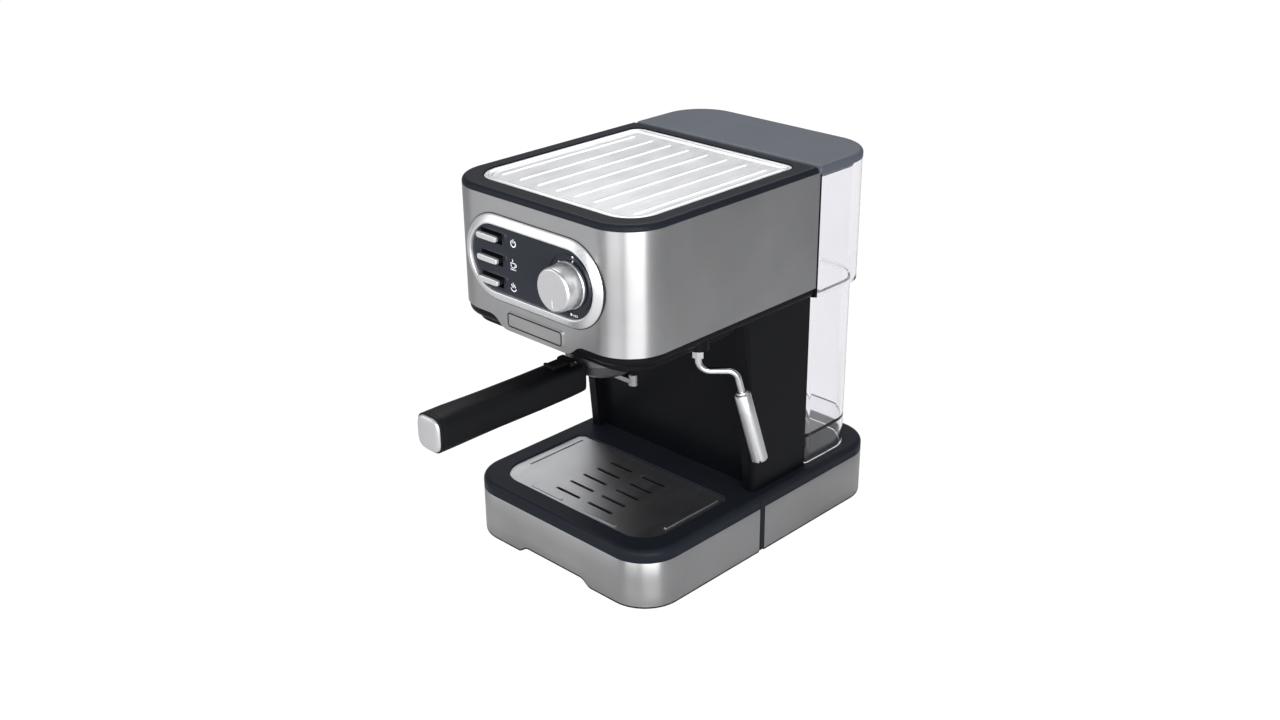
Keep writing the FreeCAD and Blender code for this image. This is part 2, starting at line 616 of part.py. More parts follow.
def pump():
    """Vibration pump: a plastic barrel through a square coil, with two hose stubs."""
    barrel = post(PUMP_X, PUMP_Y, 84, 150, 14)
    coil = box(PUMP_X - 18, PUMP_Y - 18, 100, PUMP_X + 18, PUMP_Y + 18, 134)
    return barrel.fuse([coil, post(PUMP_X, PUMP_Y, 74, 84, 3.5), post(PUMP_X, PUMP_Y, 150, 160, 3.5)])


def pump_mounts():
    """Two rubber rings that hold the pump's ends."""
    rings = []
    for z in (87, 141):
        rings.append(turned([(14.05, 0), (19, 0), (19, 6), (14.05, 6)], Vec(PUMP_X, PUMP_Y, z), Vec(0, 0, 1)))
    return Part.makeCompound(rings)


def pump_bracket():
    """Steel bracket on the back panel with two shelves round the rubber rings."""
    back = box(PUMP_X - 22, PANEL_Y - 1.6, 84, PUMP_X + 22, PANEL_Y, 150)
    shelves = []
    for z in (88, 142):
        shelf = box(PUMP_X - 22, PUMP_Y - 21, z, PUMP_X + 22, PANEL_Y - 1, z + 1.6)
        shelves.append(shelf.cut(post(PUMP_X, PUMP_Y, z - 1, z + 3, 19.05)))
    return back.fuse(shelves)


def suction_hose():
    """Silicone hose from the tank socket, under the deck, to the pump's inlet."""
    points = [Vec(VALVE_X, VALVE_Y, 45.4), Vec(VALVE_X, VALVE_Y, 26), Vec(PUMP_X, VALVE_Y, 26),
              Vec(PUMP_X, PUMP_Y, 26), Vec(PUMP_X, PUMP_Y, 73.8)]
    return bent_rod(points, 9, 4)


def pressure_hose():
    """Pressure hose from the pump up to the boiler."""
    points = [Vec(PUMP_X, PUMP_Y, 160.2), Vec(PUMP_X, PUMP_Y, 266), Vec(0, GROUP_Y, 266), Vec(0, GROUP_Y, 250.2)]
    return bent_rod(points, 10, 3)


def steam_pipes():
    """Metal pipes from the boiler to the steam valve and from the valve to the wand socket."""
    feed = bent_rod([Vec(18, GROUP_Y - 10, 250.2), Vec(18, GROUP_Y - 10, 264), Vec(KNOB_X, GROUP_Y - 10, 264),
                     Vec(KNOB_X, -119.8, 264)], 5, 2)
    out = bent_rod([Vec(KNOB_X + 12.2, -133, FACE_Z), Vec(WAND_X, -133, FACE_Z), Vec(WAND_X, WAND_Y, FACE_Z),
                    Vec(WAND_X, WAND_Y, 204.2)], 9, 2)
    return Part.makeCompound([feed, out])


def wiring_harness():
    """Insulated wires from the switches to the boiler and the pump, and from the cord gland up."""
    to_boiler = bent_rod([Vec(KEY_X, -128.8, 262), Vec(KEY_X, GROUP_Y + 18, 262), Vec(-18, GROUP_Y + 18, 262),
                          Vec(-18, GROUP_Y + 18, 254.2)], 3, 1.4)
    to_pump = bent_rod([Vec(KEY_X, -128.8, 240), Vec(KEY_X, 12, 240), Vec(KEY_X, 12, 117), Vec(1.8, 12, 117)],
                       10, 1.4)
    supply = bent_rod([Vec(-70, 134, 24), Vec(-70, 120, 24), Vec(-50, 24, 24), Vec(-50, 24, 250),
                       Vec(-50, -128.8, 250)], 8, 2)
    return Part.makeCompound([to_boiler, to_pump, supply])


def cord_gland():
    """Moulded gland where the mains lead enters the base."""
    profile = [(2.6, 0), (5.9, 0), (5.9, 9.5), (8, 9.5), (8, 12), (5, 15), (2.6, 15)]
    return turned(profile, Vec(-70, 134, 24), Vec(0, 1, 0))


# ---- steam wand -----------------------------------------------------------------------------------------
WAND_KNEE = Vec(WAND_X, WAND_Y, 175)
SLEEVE_TOP = Vec(107, -44, 157.6)
SLEEVE_END = Vec(117.5, -33.5, 100.5)
WAND_ELBOW = SLEEVE_TOP - (SLEEVE_END - SLEEVE_TOP) * 0.3   # on the sleeve's own axis


def wand_socket():
    """Hexagonal swivel nut under the chin, with the seat that the wand turns in."""
    corners = [Vec(WAND_X + 4.8 * math.cos(math.pi * k / 3), WAND_Y + 4.8 * math.sin(math.pi * k / 3), 186.4)
               for k in range(7)]
    nut = Part.Face(Part.makePolygon(corners)).extrude(Vec(0, 0, 6.9))
    stem = post(WAND_X, WAND_Y, 192, 204, 5)
    seat = post(WAND_X, WAND_Y, 183, 202, WAND_R + RUNNING)
    return nut.fuse(stem).cut([seat, post(WAND_X, WAND_Y, 187.8, 190.2, 3.5)])


def wand_tube():
    """Bent steam tube with a collar in the nut; its lower run carries the frothing sleeve."""
    down = SLEEVE_END.sub(SLEEVE_TOP).normalize()
    knee_up = Vec(WAND_X, WAND_Y, 200)
    tube = bent_rod([knee_up, WAND_KNEE, WAND_ELBOW, SLEEVE_TOP + down * 53], 9, WAND_R)
    collar = post(WAND_X, WAND_Y, 188, 190, 3.4)
    bore = rod(SLEEVE_TOP + down * 30, SLEEVE_TOP + down * 60, 1.2)
    return tube.fuse(collar).cut(bore)


def froth_sleeve():
    """Steel frothing sleeve with a shoulder at the top, an air hole and three notches in its mouth."""
    axis = SLEEVE_END.sub(SLEEVE_TOP)
    length = axis.Length
    bore = WAND_R + RUNNING
    profile = [(bore, 0), (4.4, 0), (4.4, 1.2), (5.6, 1.8), (6.3, 2.8), (6.3, length - 0.5), (5.8, length),
               (4.5, length), (4.5, length - 5), (bore, length - 6)]
    sleeve = turned(profile, SLEEVE_TOP, axis)
    side = axis.cross(Vec(0, 0, 1)).normalize()
    hole_at = SLEEVE_TOP + axis * 0.14
    cuts = [rod(hole_at + side * 3.3, hole_at + side * 9, 0.9)]
    for turn in (0, 60, 120):
        notch = Part.makeBox(1.2, 14, 1.6, Vec(-0.6, -7, length - 1.6))
        notch.rotate(Vec(0, 0, 0), Vec(0, 0, 1), turn)
        along = FreeCAD.Placement(SLEEVE_TOP, FreeCAD.Rotation(Vec(0, 0, 1), axis))
        notch.Placement = along.multiply(notch.Placement)
        cuts.append(notch)
    return sleeve.cut(cuts)


# ---- portafilter ------------------------------------------------------------------------------------
def filter_cup():
    """Cast filter holder: cup, two bayonet lugs and a neck for the handle."""
    profile = [(5, 0), (22, 0), (28, 4), (CUP_R, 12), (CUP_R, CUP_TOP - CUP_LOW), (27.2, CUP_TOP - CUP_LOW),
               (27.2, 12), (20, 4), (5, 3.5)]
    cup = turned(profile, Vec(0, GROUP_Y, CUP_LOW), Vec(0, 0, 1))
    lugs = []
    for start in (-20, 160):
        lugs.append(sector(0, GROUP_Y, 188.6, 191.8, CUP_R - 1, LUG_R, start, 40))
    neck = rod(Vec(0, GROUP_Y - 28.5, 168), Vec(0, -122, 165), 7.5)
    neck = neck.common(box(-20, -130, 150, 20, GROUP_Y - 27.5, 190))
    return cup.fuse(lugs + [neck]).cut(post(0, GROUP_Y, CUP_LOW + 4, CUP_TOP + 2, 20)).removeSplitter()


def filter_basket():
    """Pressed steel basket that hangs in the holder by its rim."""
    profile = [(0, 0), (23, 0), (25.8, 3), (26, 22.8), (29.8, 22.8), (29.8, 23.6), (25.4, 23.6), (25.2, 3.4),
               (22.7, 0.8), (0, 0.8)]
    return turned(profile, Vec(0, GROUP_Y, CUP_TOP - 22.7), Vec(0, 0, 1))


def twin_spout():
    """Metal double spout: a cross bar under the cup with two nozzles."""
    bar = box(-SPOUT_X, GROUP_Y - 4, 153.2, SPOUT_X, GROUP_Y + 4, 157.9)
    bar = bar.makeFillet(1.8, [e for e in bar.Edges if e.CenterOfMass.z < 154 and abs(e.CenterOfMass.x) < 1])
    spout = bar.fuse(post(0, GROUP_Y, 157, 163, 4.9))
    for side in (-1, 1):
        spout = spout.fuse(post(side * SPOUT_X, GROUP_Y, 152.2, 161, 3.8))
        spout = spout.cut(post(side * SPOUT_X, GROUP_Y, 151, 157, 2.6))
    tunnel = rod(Vec(-SPOUT_X, GROUP_Y, 155.6), Vec(SPOUT_X, GROUP_Y, 155.6), 1.5)
    return spout.cut([tunnel, post(0, GROUP_Y, 155.6, 164, 3.0)])


GRIP_SECTIONS = [          # y, half width, half height, centre height, corner radius
    (-113.5, 13.2, 11.6, 162.4, 5.0),
    (-130.0, 13.0, 12.0, 162.2, 6.0),
    (-160.0, 12.8, 12.5, 162.2, 7.0),
    (-200.0, 12.7, 13.1, 162.8, 7.5),
    (-236.0, 13.0, 14.0, 163.3, 8.0),
    (-254.0, 13.0, 14.0, 163.3, 8.0),
]


def grip_wire(y, w, h, z, r):
    """One rounded-square section of the grip."""
    return rounded_wire([(Vec(-w, y, z - h), r), (Vec(w, y, z - h), r), (Vec(w, y, z + h), r), (Vec(-w, y, z + h), r)])


def handle_grip():
    """Moulded grip, lofted through its sections, with the raised block that carries the filter clip."""
    grip = Part.makeLoft([grip_wire(*section) for section in GRIP_SECTIONS], True)
    block = box(-8.5, -125, 168, -5.3, -117, 177.6).fuse(box(5.3, -125, 168, 8.5, -117, 177.6))
    sockets = [rod(Vec(0, -110, 168.1), Vec(0, -122.6, 164.8), 7.8),
               rod(Vec(0, -120, 164.4), Vec(0, -182, 162.5), 3.05),
               rod(Vec(-12, CLIP_Y, CLIP_Z), Vec(12, CLIP_Y, CLIP_Z), 1.2),
               rod(Vec(-5.3, CLIP_Y, CLIP_Z), Vec(5.3, CLIP_Y, CLIP_Z), 3.0)]
    return grip.fuse(block).cut(sockets)


CLIP_Y = -121.0
CLIP_Z = 176.0


def handle_bolt():
    """Steel stud between the neck and the grip."""
    start = Vec(0, -122.8, 164.3)
    return rod(start, Vec(0, -180, 162.56), 3.0)


def handle_end_cap():
    """Satin silver inlay in the end of the grip."""
    y, w, h, z, r = GRIP_SECTIONS[-1]
    cap = Part.Face(grip_wire(y - 2.6, w - 0.9, h - 0.9, z, r - 0.8)).extrude(Vec(0, 2.55, 0))
    return cap.makeFillet(1.6, [e for e in cap.Edges if e.BoundBox.YMax < y - 2.5])


def clip_pin():
    """Pivot pin of the filter clip."""
    return rod(Vec(-8.4, CLIP_Y, CLIP_Z), Vec(8.4, CLIP_Y, CLIP_Z), 1.15)


def filter_clip():
    """Thumb clip that holds the basket while the grounds are knocked out."""
    barrel = rod(Vec(-5, CLIP_Y, CLIP_Z), Vec(5, CLIP_Y, CLIP_Z), 2.4)
    arm = box(-5, -141, 175, 5, CLIP_Y, 177.4)
    arm = arm.makeFillet(1.0, [e for e in arm.Edges if e.CenterOfMass.y < -140.5])
    lip = box(-5, -141, 177, 5, -138.8, 178.4)
    return barrel.fuse([arm, lip]).cut(rod(Vec(-9, CLIP_Y, CLIP_Z), Vec(9, CLIP_Y, CLIP_Z), 1.15 + RUNNING))


# ---- drip tray -----------------------------------------------------------------------------------------
def tray_tub():
    """Moulded drip tray: rounded rim, sump under the grid and a skirt behind the steel band."""
    rim = prism(BASE_X, BASE_FRONT, TRAY_END, RIM_LOW, DECK, BASE_R, 0)
    rim = rim.makeFillet(4.5, top_edges(rim, DECK, lambda c: c.y < TRAY_END - 1))
    skin = SHEET + 0.1
    skirt = prism(BASE_X - skin, BASE_FRONT + skin, TRAY_END, BAND_LOW + 0.2, RIM_LOW, BASE_R - skin, 0)
    hollow = prism(BASE_X - skin - WALL, BASE_FRONT + skin + WALL, TRAY_END + 5, 0, RIM_LOW + 2,
                   BASE_R - skin - WALL, 0)
    sump_out = prism(82.5, -123.5, -31, 9, RIM_LOW + 3, 23, 8)
    sump_in = prism(80, -121, -33.5, 11.5, DECK + 1, 20.5, 6)
    seat = prism(GRID_X + 0.4, GRID_FRONT - 0.4, GRID_REAR + 0.4, GRID_Z - 0.1, DECK + 1, 24.4, 6.4)
    tub = rim.fuse(skirt.cut(hollow)).fuse(sump_out).cut([sump_in, seat])
    return tub.cut(tray_notch(BASE_FRONT - 2, BASE_FRONT + 8)).removeSplitter()


def tray_band():
    """Brushed steel strip round the front and sides of the tray."""
    outer = prism(BASE_X, BASE_FRONT, TRAY_END, BAND_LOW, BAND_TOP, BASE_R, 0)
    inner = prism(BASE_X - SHEET, BASE_FRONT + SHEET, TRAY_END + 5, BAND_LOW - 1, BAND_TOP + 1, BASE_R - SHEET, 0)
    return outer.cut([inner, tray_notch(BASE_FRONT - 2, BASE_FRONT + 8)])


def drip_grid():
    """Pressed steel grid with two columns of drain slots, embossed lines and side ridges."""
    plate = prism(GRID_X, GRID_FRONT, GRID_REAR, GRID_Z, GRID_Z + GRID_T, 24, 6)
    slots = []
    for side in (-1, 1):
        for i in range(5):
            y = -108 + 15 * i
            slots.append(slot_plug(side * 18 - 12, y, side * 18 + 12, y, 1.5, GRID_Z - 1, GRID_Z + 3))
    plate = plate.cut(slots)
    ridges = []
    for side in (-1, 1):
        ridges.append(box(side * 77 - 1.2, -96, GRID_Z + GRID_T - 0.1, side * 77 + 1.2, -36, GRID_Z + GRID_T + 0.8))
        ridges.append(box(side * 30 - 17, -121, GRID_Z + GRID_T - 0.1, side * 30 + 17, -118.8, GRID_Z + GRID_T + 0.8))
    return plate.fuse(ridges)


# ---- water tank ------------------------------------------------------------------------------------------
def tank_upper():
    """Wide upper part of the clear tank: a stepped floor ring, walls, and two hinge ears at the back."""
    t = TANK_WALL
    outer = prism(TANK_X, TANK_FRONT, TANK_REAR, TANK_STEP, TANK_TOP, 5, 32)
    inner = prism(TANK_X - t, TANK_FRONT + t, TANK_REAR - t, TANK_STEP + t, TANK_TOP + 5, 3, 32 - t)
    neck = prism(TANK_LOW_X - t, TANK_FRONT + t, TANK_LOW_REAR - t, TANK_STEP - 5, TANK_STEP + 5, 3, 28 - t)
    tank = outer.cut([inner, neck])
    for side in (-1, 1):
        x = side * HINGE_X
        ear = box(x - 5, TANK_REAR - t, TANK_TOP - 5, x + 5, HINGE_Y + 0.4, HINGE_Z)
        barrel = rod(Vec(x - 5, HINGE_Y, HINGE_Z), Vec(x + 5, HINGE_Y, HINGE_Z), 1.9)
        tank = tank.fuse([ear, barrel])
    return tank.cut(rod(Vec(-60, HINGE_Y, HINGE_Z), Vec(60, HINGE_Y, HINGE_Z), 1.05)).removeSplitter()


def tank_lower():
    """Lower part of the clear tank: walls, a floor with the valve hole, and the skirt that it stands on."""
    t = TANK_WALL
    outer = prism(TANK_LOW_X, TANK_FRONT, TANK_LOW_REAR, DECK + 0.3, TANK_STEP - 0.02, 5, 28)
    inner = prism(TANK_LOW_X - t, TANK_FRONT + t, TANK_LOW_REAR - t, TANK_FLOOR + 3, TANK_STEP + 5, 3, 28 - t)
    skirt_in = prism(TANK_LOW_X - t, TANK_FRONT + t, TANK_LOW_REAR - t, 0, TANK_FLOOR, 3, 28 - t)
    return outer.cut([inner, skirt_in, post(VALVE_X, VALVE_Y, TANK_FLOOR - 1, TANK_FLOOR + 5, 6)])


def lid_pins():
    """Two steel hinge pins of the tank lid."""
    pins = [rod(Vec(s * HINGE_X - 11.5, HINGE_Y, HINGE_Z), Vec(s * HINGE_X + 11.5, HINGE_Y, HINGE_Z), 1.02)
            for s in (-1, 1)]
    return Part.makeCompound(pins)


def valve_seat():
    """Valve housing pushed into the tank floor, with a guide bore for the poppet."""
    profile = [(4.1, 0), (9, 0), (9, 1.5), (7, 3), (7, TANK_FLOOR - 57.1), (9, TANK_FLOOR - 57.1), (9, TANK_FLOOR - 56.05),
               (5.9, TANK_FLOOR - 56.05), (5.9, TANK_FLOOR - 52.9), (4.1, TANK_FLOOR - 52.9)]
    return turned(profile, Vec(VALVE_X, VALVE_Y, 56), Vec(0, 0, 1))


def valve_poppet():
    """Spring-loaded poppet, held open by the socket's pin while the tank is seated."""
    stem = TANK_FLOOR - 54
    profile = [(0, 0), (4.0, 0), (4.0, stem - 8), (2.2, stem - 7), (2.2, stem), (7, stem + 0.3), (7, stem + 2),
               (0, stem + 3)]
    return turned(profile, Vec(VALVE_X, VALVE_Y, 60), Vec(0, 0, 1))


def tank_lid():
    """Tank lid: rounded top, skirt, and hinge barrels at the back edge."""
    lid = prism(BODY_X, LID_FRONT, LID_REAR, LID_LOW, TOP, 3, 38)
    lid = lid.makeFillet(3.6, top_edges(lid, TOP, lambda c: True))
    lid = lid.cut(prism(BODY_X - 4, LID_FRONT + 4, LID_REAR - 6, LID_LOW - 1, TOP - 2.4, 3, 33))
    lip = prism(TANK_X - 2.8, TANK_FRONT + 2.8, 119, LID_LOW - 4, TOP - 2, 3, 26)
    lip = lip.cut(prism(TANK_X - 4.8, TANK_FRONT + 4.8, 117, LID_LOW - 5, TOP, 3, 24))
    lid = lid.fuse(lip).cut(box(-BODY_X, LID_REAR - 4, LID_LOW - 1, BODY_X, LID_REAR + 1, HINGE_Z - 0.5))
    for side in (-1, 1):
        x = side * HINGE_X
        lid = lid.cut(box(x - 5.3, TANK_REAR - 5.5, LID_LOW - 1, x + 5.3, LID_REAR + 2, HINGE_Z + 2.2))
        lid = lid.cut(box(x - 12, TANK_REAR - 1.5, LID_LOW - 1, x + 12, LID_REAR + 2, HINGE_Z + 2.2))
        for shift in (-8.7, 8.7):
            lid = lid.fuse(rod(Vec(x + shift - 3.1, HINGE_Y, HINGE_Z), Vec(x + shift + 3.1, HINGE_Y, HINGE_Z), 1.9))
            lid = lid.fuse(box(x + shift - 3.1, HINGE_Y - 1.5, HINGE_Z, x + shift + 3.1, HINGE_Y + 1.5, HINGE_Z + 2.6))
    return lid.cut(rod(Vec(-70, HINGE_Y, HINGE_Z), Vec(70, HINGE_Y, HINGE_Z), 1.08)).removeSplitter()


# ---- write everything --------------------------------------------------------------------------------
SINGLE_PARTS = [
    base_shell, base_band, bottom_plate, rubber_feet, case_screws, column_shell, back_panel, tank_socket,
    body_wrap, chin_shell, top_rim, warming_plate, panel_bezel, control_panel, badge_plate, switch_block,
    steam_valve, valve_spindle, knob, group_collar, group_gasket, shower_screen, boiler_lower,
    boiler_upper, boiler_screws, thermostats, pump, pump_mounts, pump_bracket, suction_hose, pressure_hose,
    steam_pipes, wiring_harness, cord_gland, wand_socket, wand_tube, froth_sleeve, filter_cup, filter_basket,
    twin_spout, handle_grip, handle_bolt, handle_end_cap, clip_pin, filter_clip, tray_tub, tray_band,
    drip_grid, tank_upper, tank_lower, lid_pins, valve_seat, valve_poppet, tank_lid,
]

os.makedirs("parts", exist_ok=True)
for maker in SINGLE_PARTS:
    write(maker.__name__, maker())
for key_name, key_z in KEY_HEIGHTS.items():
    write("key_" + key_name, key_lever(key_z))
    write("key_" + key_name + "_tip", key_tip(key_z))
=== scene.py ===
import math

import bmesh
import bpy
import numpy as np
from mathutils import Matrix, Vector


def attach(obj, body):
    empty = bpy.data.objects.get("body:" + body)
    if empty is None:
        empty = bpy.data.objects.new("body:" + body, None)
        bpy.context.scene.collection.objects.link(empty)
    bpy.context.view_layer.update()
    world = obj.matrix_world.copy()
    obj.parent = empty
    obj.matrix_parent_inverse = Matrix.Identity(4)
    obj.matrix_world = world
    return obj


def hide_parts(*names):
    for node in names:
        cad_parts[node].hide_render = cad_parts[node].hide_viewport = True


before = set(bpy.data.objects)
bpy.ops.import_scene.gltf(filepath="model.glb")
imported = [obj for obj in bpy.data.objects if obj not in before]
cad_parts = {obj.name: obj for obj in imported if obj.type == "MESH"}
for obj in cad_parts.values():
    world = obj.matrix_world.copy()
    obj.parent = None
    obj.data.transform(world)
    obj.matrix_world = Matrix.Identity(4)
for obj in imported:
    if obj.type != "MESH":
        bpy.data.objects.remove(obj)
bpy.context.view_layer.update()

# ---- viewpoint --------------------------------------------------------------------------------------------
# Someone stands at the machine's front right corner, a little above it, as at a worktop. The camera looks
# at a point inside the body from there, with a hair of roll, as when it is held in the hand.
TARGET = Vector((0.02884, -0.07241, 0.16885))
AZIMUTH = math.radians(44.3)
ELEVATION = math.radians(24.07)
ROLL = math.radians(-0.54)
DISTANCE = 1.13964

back = Vector((math.sin(AZIMUTH) * math.cos(ELEVATION), -math.cos(AZIMUTH) * math.cos(ELEVATION),
               math.sin(ELEVATION)))
level = Vector((0, 0, 1)).cross(back).normalized()
upright = back.cross(level)
right = level * math.cos(ROLL) + upright * math.sin(ROLL)
up = upright * math.cos(ROLL) - level * math.sin(ROLL)
camera_data = bpy.data.cameras.new("camera")
camera_data.lens = 41.92
camera_data.sensor_width = 36.0
camera_data.clip_start = 0.05
camera_data.clip_end = 30.0
camera = bpy.data.objects.new("camera", camera_data)
camera.matrix_world = Matrix((
    (right.x, up.x, back.x, TARGET.x + back.x * DISTANCE),
    (right.y, up.y, back.y, TARGET.y + back.y * DISTANCE),
    (right.z, up.z, back.z, TARGET.z + back.z * DISTANCE),
    (0, 0, 0, 1)))
bpy.context.scene.collection.objects.link(camera)
bpy.context.scene.camera = camera


# ---- studio light and floor -------------------------------------------------------------------------------
# Soft boxes light the machine: one overhead behind it, for the plate and the lid; one at the front left; and
# three from straight ahead round to the right, whose reflections together draw the broad bright band down the
# front right corner of the steel. The floor is plain pale paper.
def soft_box(name, place, aim, width, height, power):
    """Rectangular area light at place, facing aim."""
    data = bpy.data.lights.new(name, "AREA")
    data.shape = "RECTANGLE"
    data.size = width
    data.size_y = height
    data.energy = power
    light = bpy.data.objects.new(name, data)
    light.location = place
    light.rotation_euler = (Vector(aim) - Vector(place)).to_track_quat("-Z", "Y").to_euler()
    bpy.context.scene.collection.objects.link(light)


soft_box("overhead_box", (-0.65, 0.80, 1.65), (0.0, 0.0, 0.25), 1.5, 1.3, 15)
soft_box("front_box", (-1.3, -1.4, 0.75), (0.0, 0.0, 0.2), 1.1, 1.5, 6)
soft_box("face_box", (0.30, -1.40, 0.40), (0.0, -0.1, 0.2), 0.80, 1.5, 9)
soft_box("side_box", (1.02, -0.78, 0.35), (0.0, -0.1, 0.15), 0.80, 1.6, 17)
soft_box("corner_strip", (1.25, -0.42, 0.30), (0.0, -0.1, 0.15), 0.14, 1.6, 4)

# seen directly, or through the tank, the room is plain white; it lights the machine more faintly than that
world = bpy.data.worlds.new("studio")
world.use_nodes = True
sky = world.node_tree
sky.nodes.clear()
sky_out = sky.nodes.new("ShaderNodeOutputWorld")
seen = sky.nodes.new("ShaderNodeBackground")
seen.inputs["Color"].default_value = (1.0, 1.0, 1.0, 1)
seen.inputs["Strength"].default_value = 1.0
lit = sky.nodes.new("ShaderNodeBackground")
lit.inputs["Color"].default_value = (0.95, 0.97, 1.0, 1)
lit.inputs["Strength"].default_value = 0.27
sky_path = sky.nodes.new("ShaderNodeLightPath")
through = sky.nodes.new("ShaderNodeMath")
through.operation = "MAXIMUM"
choose = sky.nodes.new("ShaderNodeMixShader")
sky.links.new(sky_path.outputs["Is Camera Ray"], through.inputs[0])
sky.links.new(sky_path.outputs["Is Transmission Ray"], through.inputs[1])
sky.links.new(through.outputs[0], choose.inputs[0])
sky.links.new(lit.outputs[0], choose.inputs[1])
sky.links.new(seen.outputs[0], choose.inputs[2])
sky.links.new(choose.outputs[0], sky_out.inputs[0])
bpy.context.scene.world = world
bpy.context.scene.view_settings.view_transform = "Standard"

FLOOR_REACH = 4.0
floor_mesh = bpy.data.meshes.new("floor")
floor_mesh.from_pydata([(-FLOOR_REACH, -FLOOR_REACH, 0), (FLOOR_REACH, -FLOOR_REACH, 0),
                        (FLOOR_REACH, FLOOR_REACH, 0), (-FLOOR_REACH, FLOOR_REACH, 0)], [], [(0, 1, 2, 3)])
floor = bpy.data.objects.new("floor", floor_mesh)
bpy.context.scene.collection.objects.link(floor)
# pale matt paper, mostly overlaid by an even white where it is seen directly or through the tank
paper = bpy.data.materials.new("paper_sweep")
paper.use_nodes = True
paper_tree = paper.node_tree
paper_tree.nodes.clear()
paper_out = paper_tree.nodes.new("ShaderNodeOutputMaterial")
paper_matt = paper_tree.nodes.new("ShaderNodeBsdfDiffuse")
paper_matt.inputs["Color"].default_value = (0.62, 0.62, 0.62, 1)
paper_glow = paper_tree.nodes.new("ShaderNodeEmission")
paper_glow.inputs["Strength"].default_value = 1.12
paper_path = paper_tree.nodes.new("ShaderNodeLightPath")
paper_share = paper_tree.nodes.new("ShaderNodeMath")
paper_share.operation = "MULTIPLY"
paper_share.inputs[1].default_value = 0.87
paper_mix = paper_tree.nodes.new("ShaderNodeMixShader")
paper_see = paper_tree.nodes.new("ShaderNodeMath")
paper_see.operation = "MAXIMUM"
paper_tree.links.new(paper_path.outputs["Is Camera Ray"], paper_see.inputs[0])
paper_tree.links.new(paper_path.outputs["Is Transmission Ray"], paper_see.inputs[1])
paper_tree.links.new(paper_see.outputs[0], paper_share.inputs[0])
paper_tree.links.new(paper_share.outputs[0], paper_mix.inputs[0])
paper_tree.links.new(paper_matt.outputs[0], paper_mix.inputs[1])
paper_tree.links.new(paper_glow.outputs[0], paper_mix.inputs[2])
paper_tree.links.new(paper_mix.outputs[0], paper_out.inputs[0])
floor_mesh.materials.append(paper)


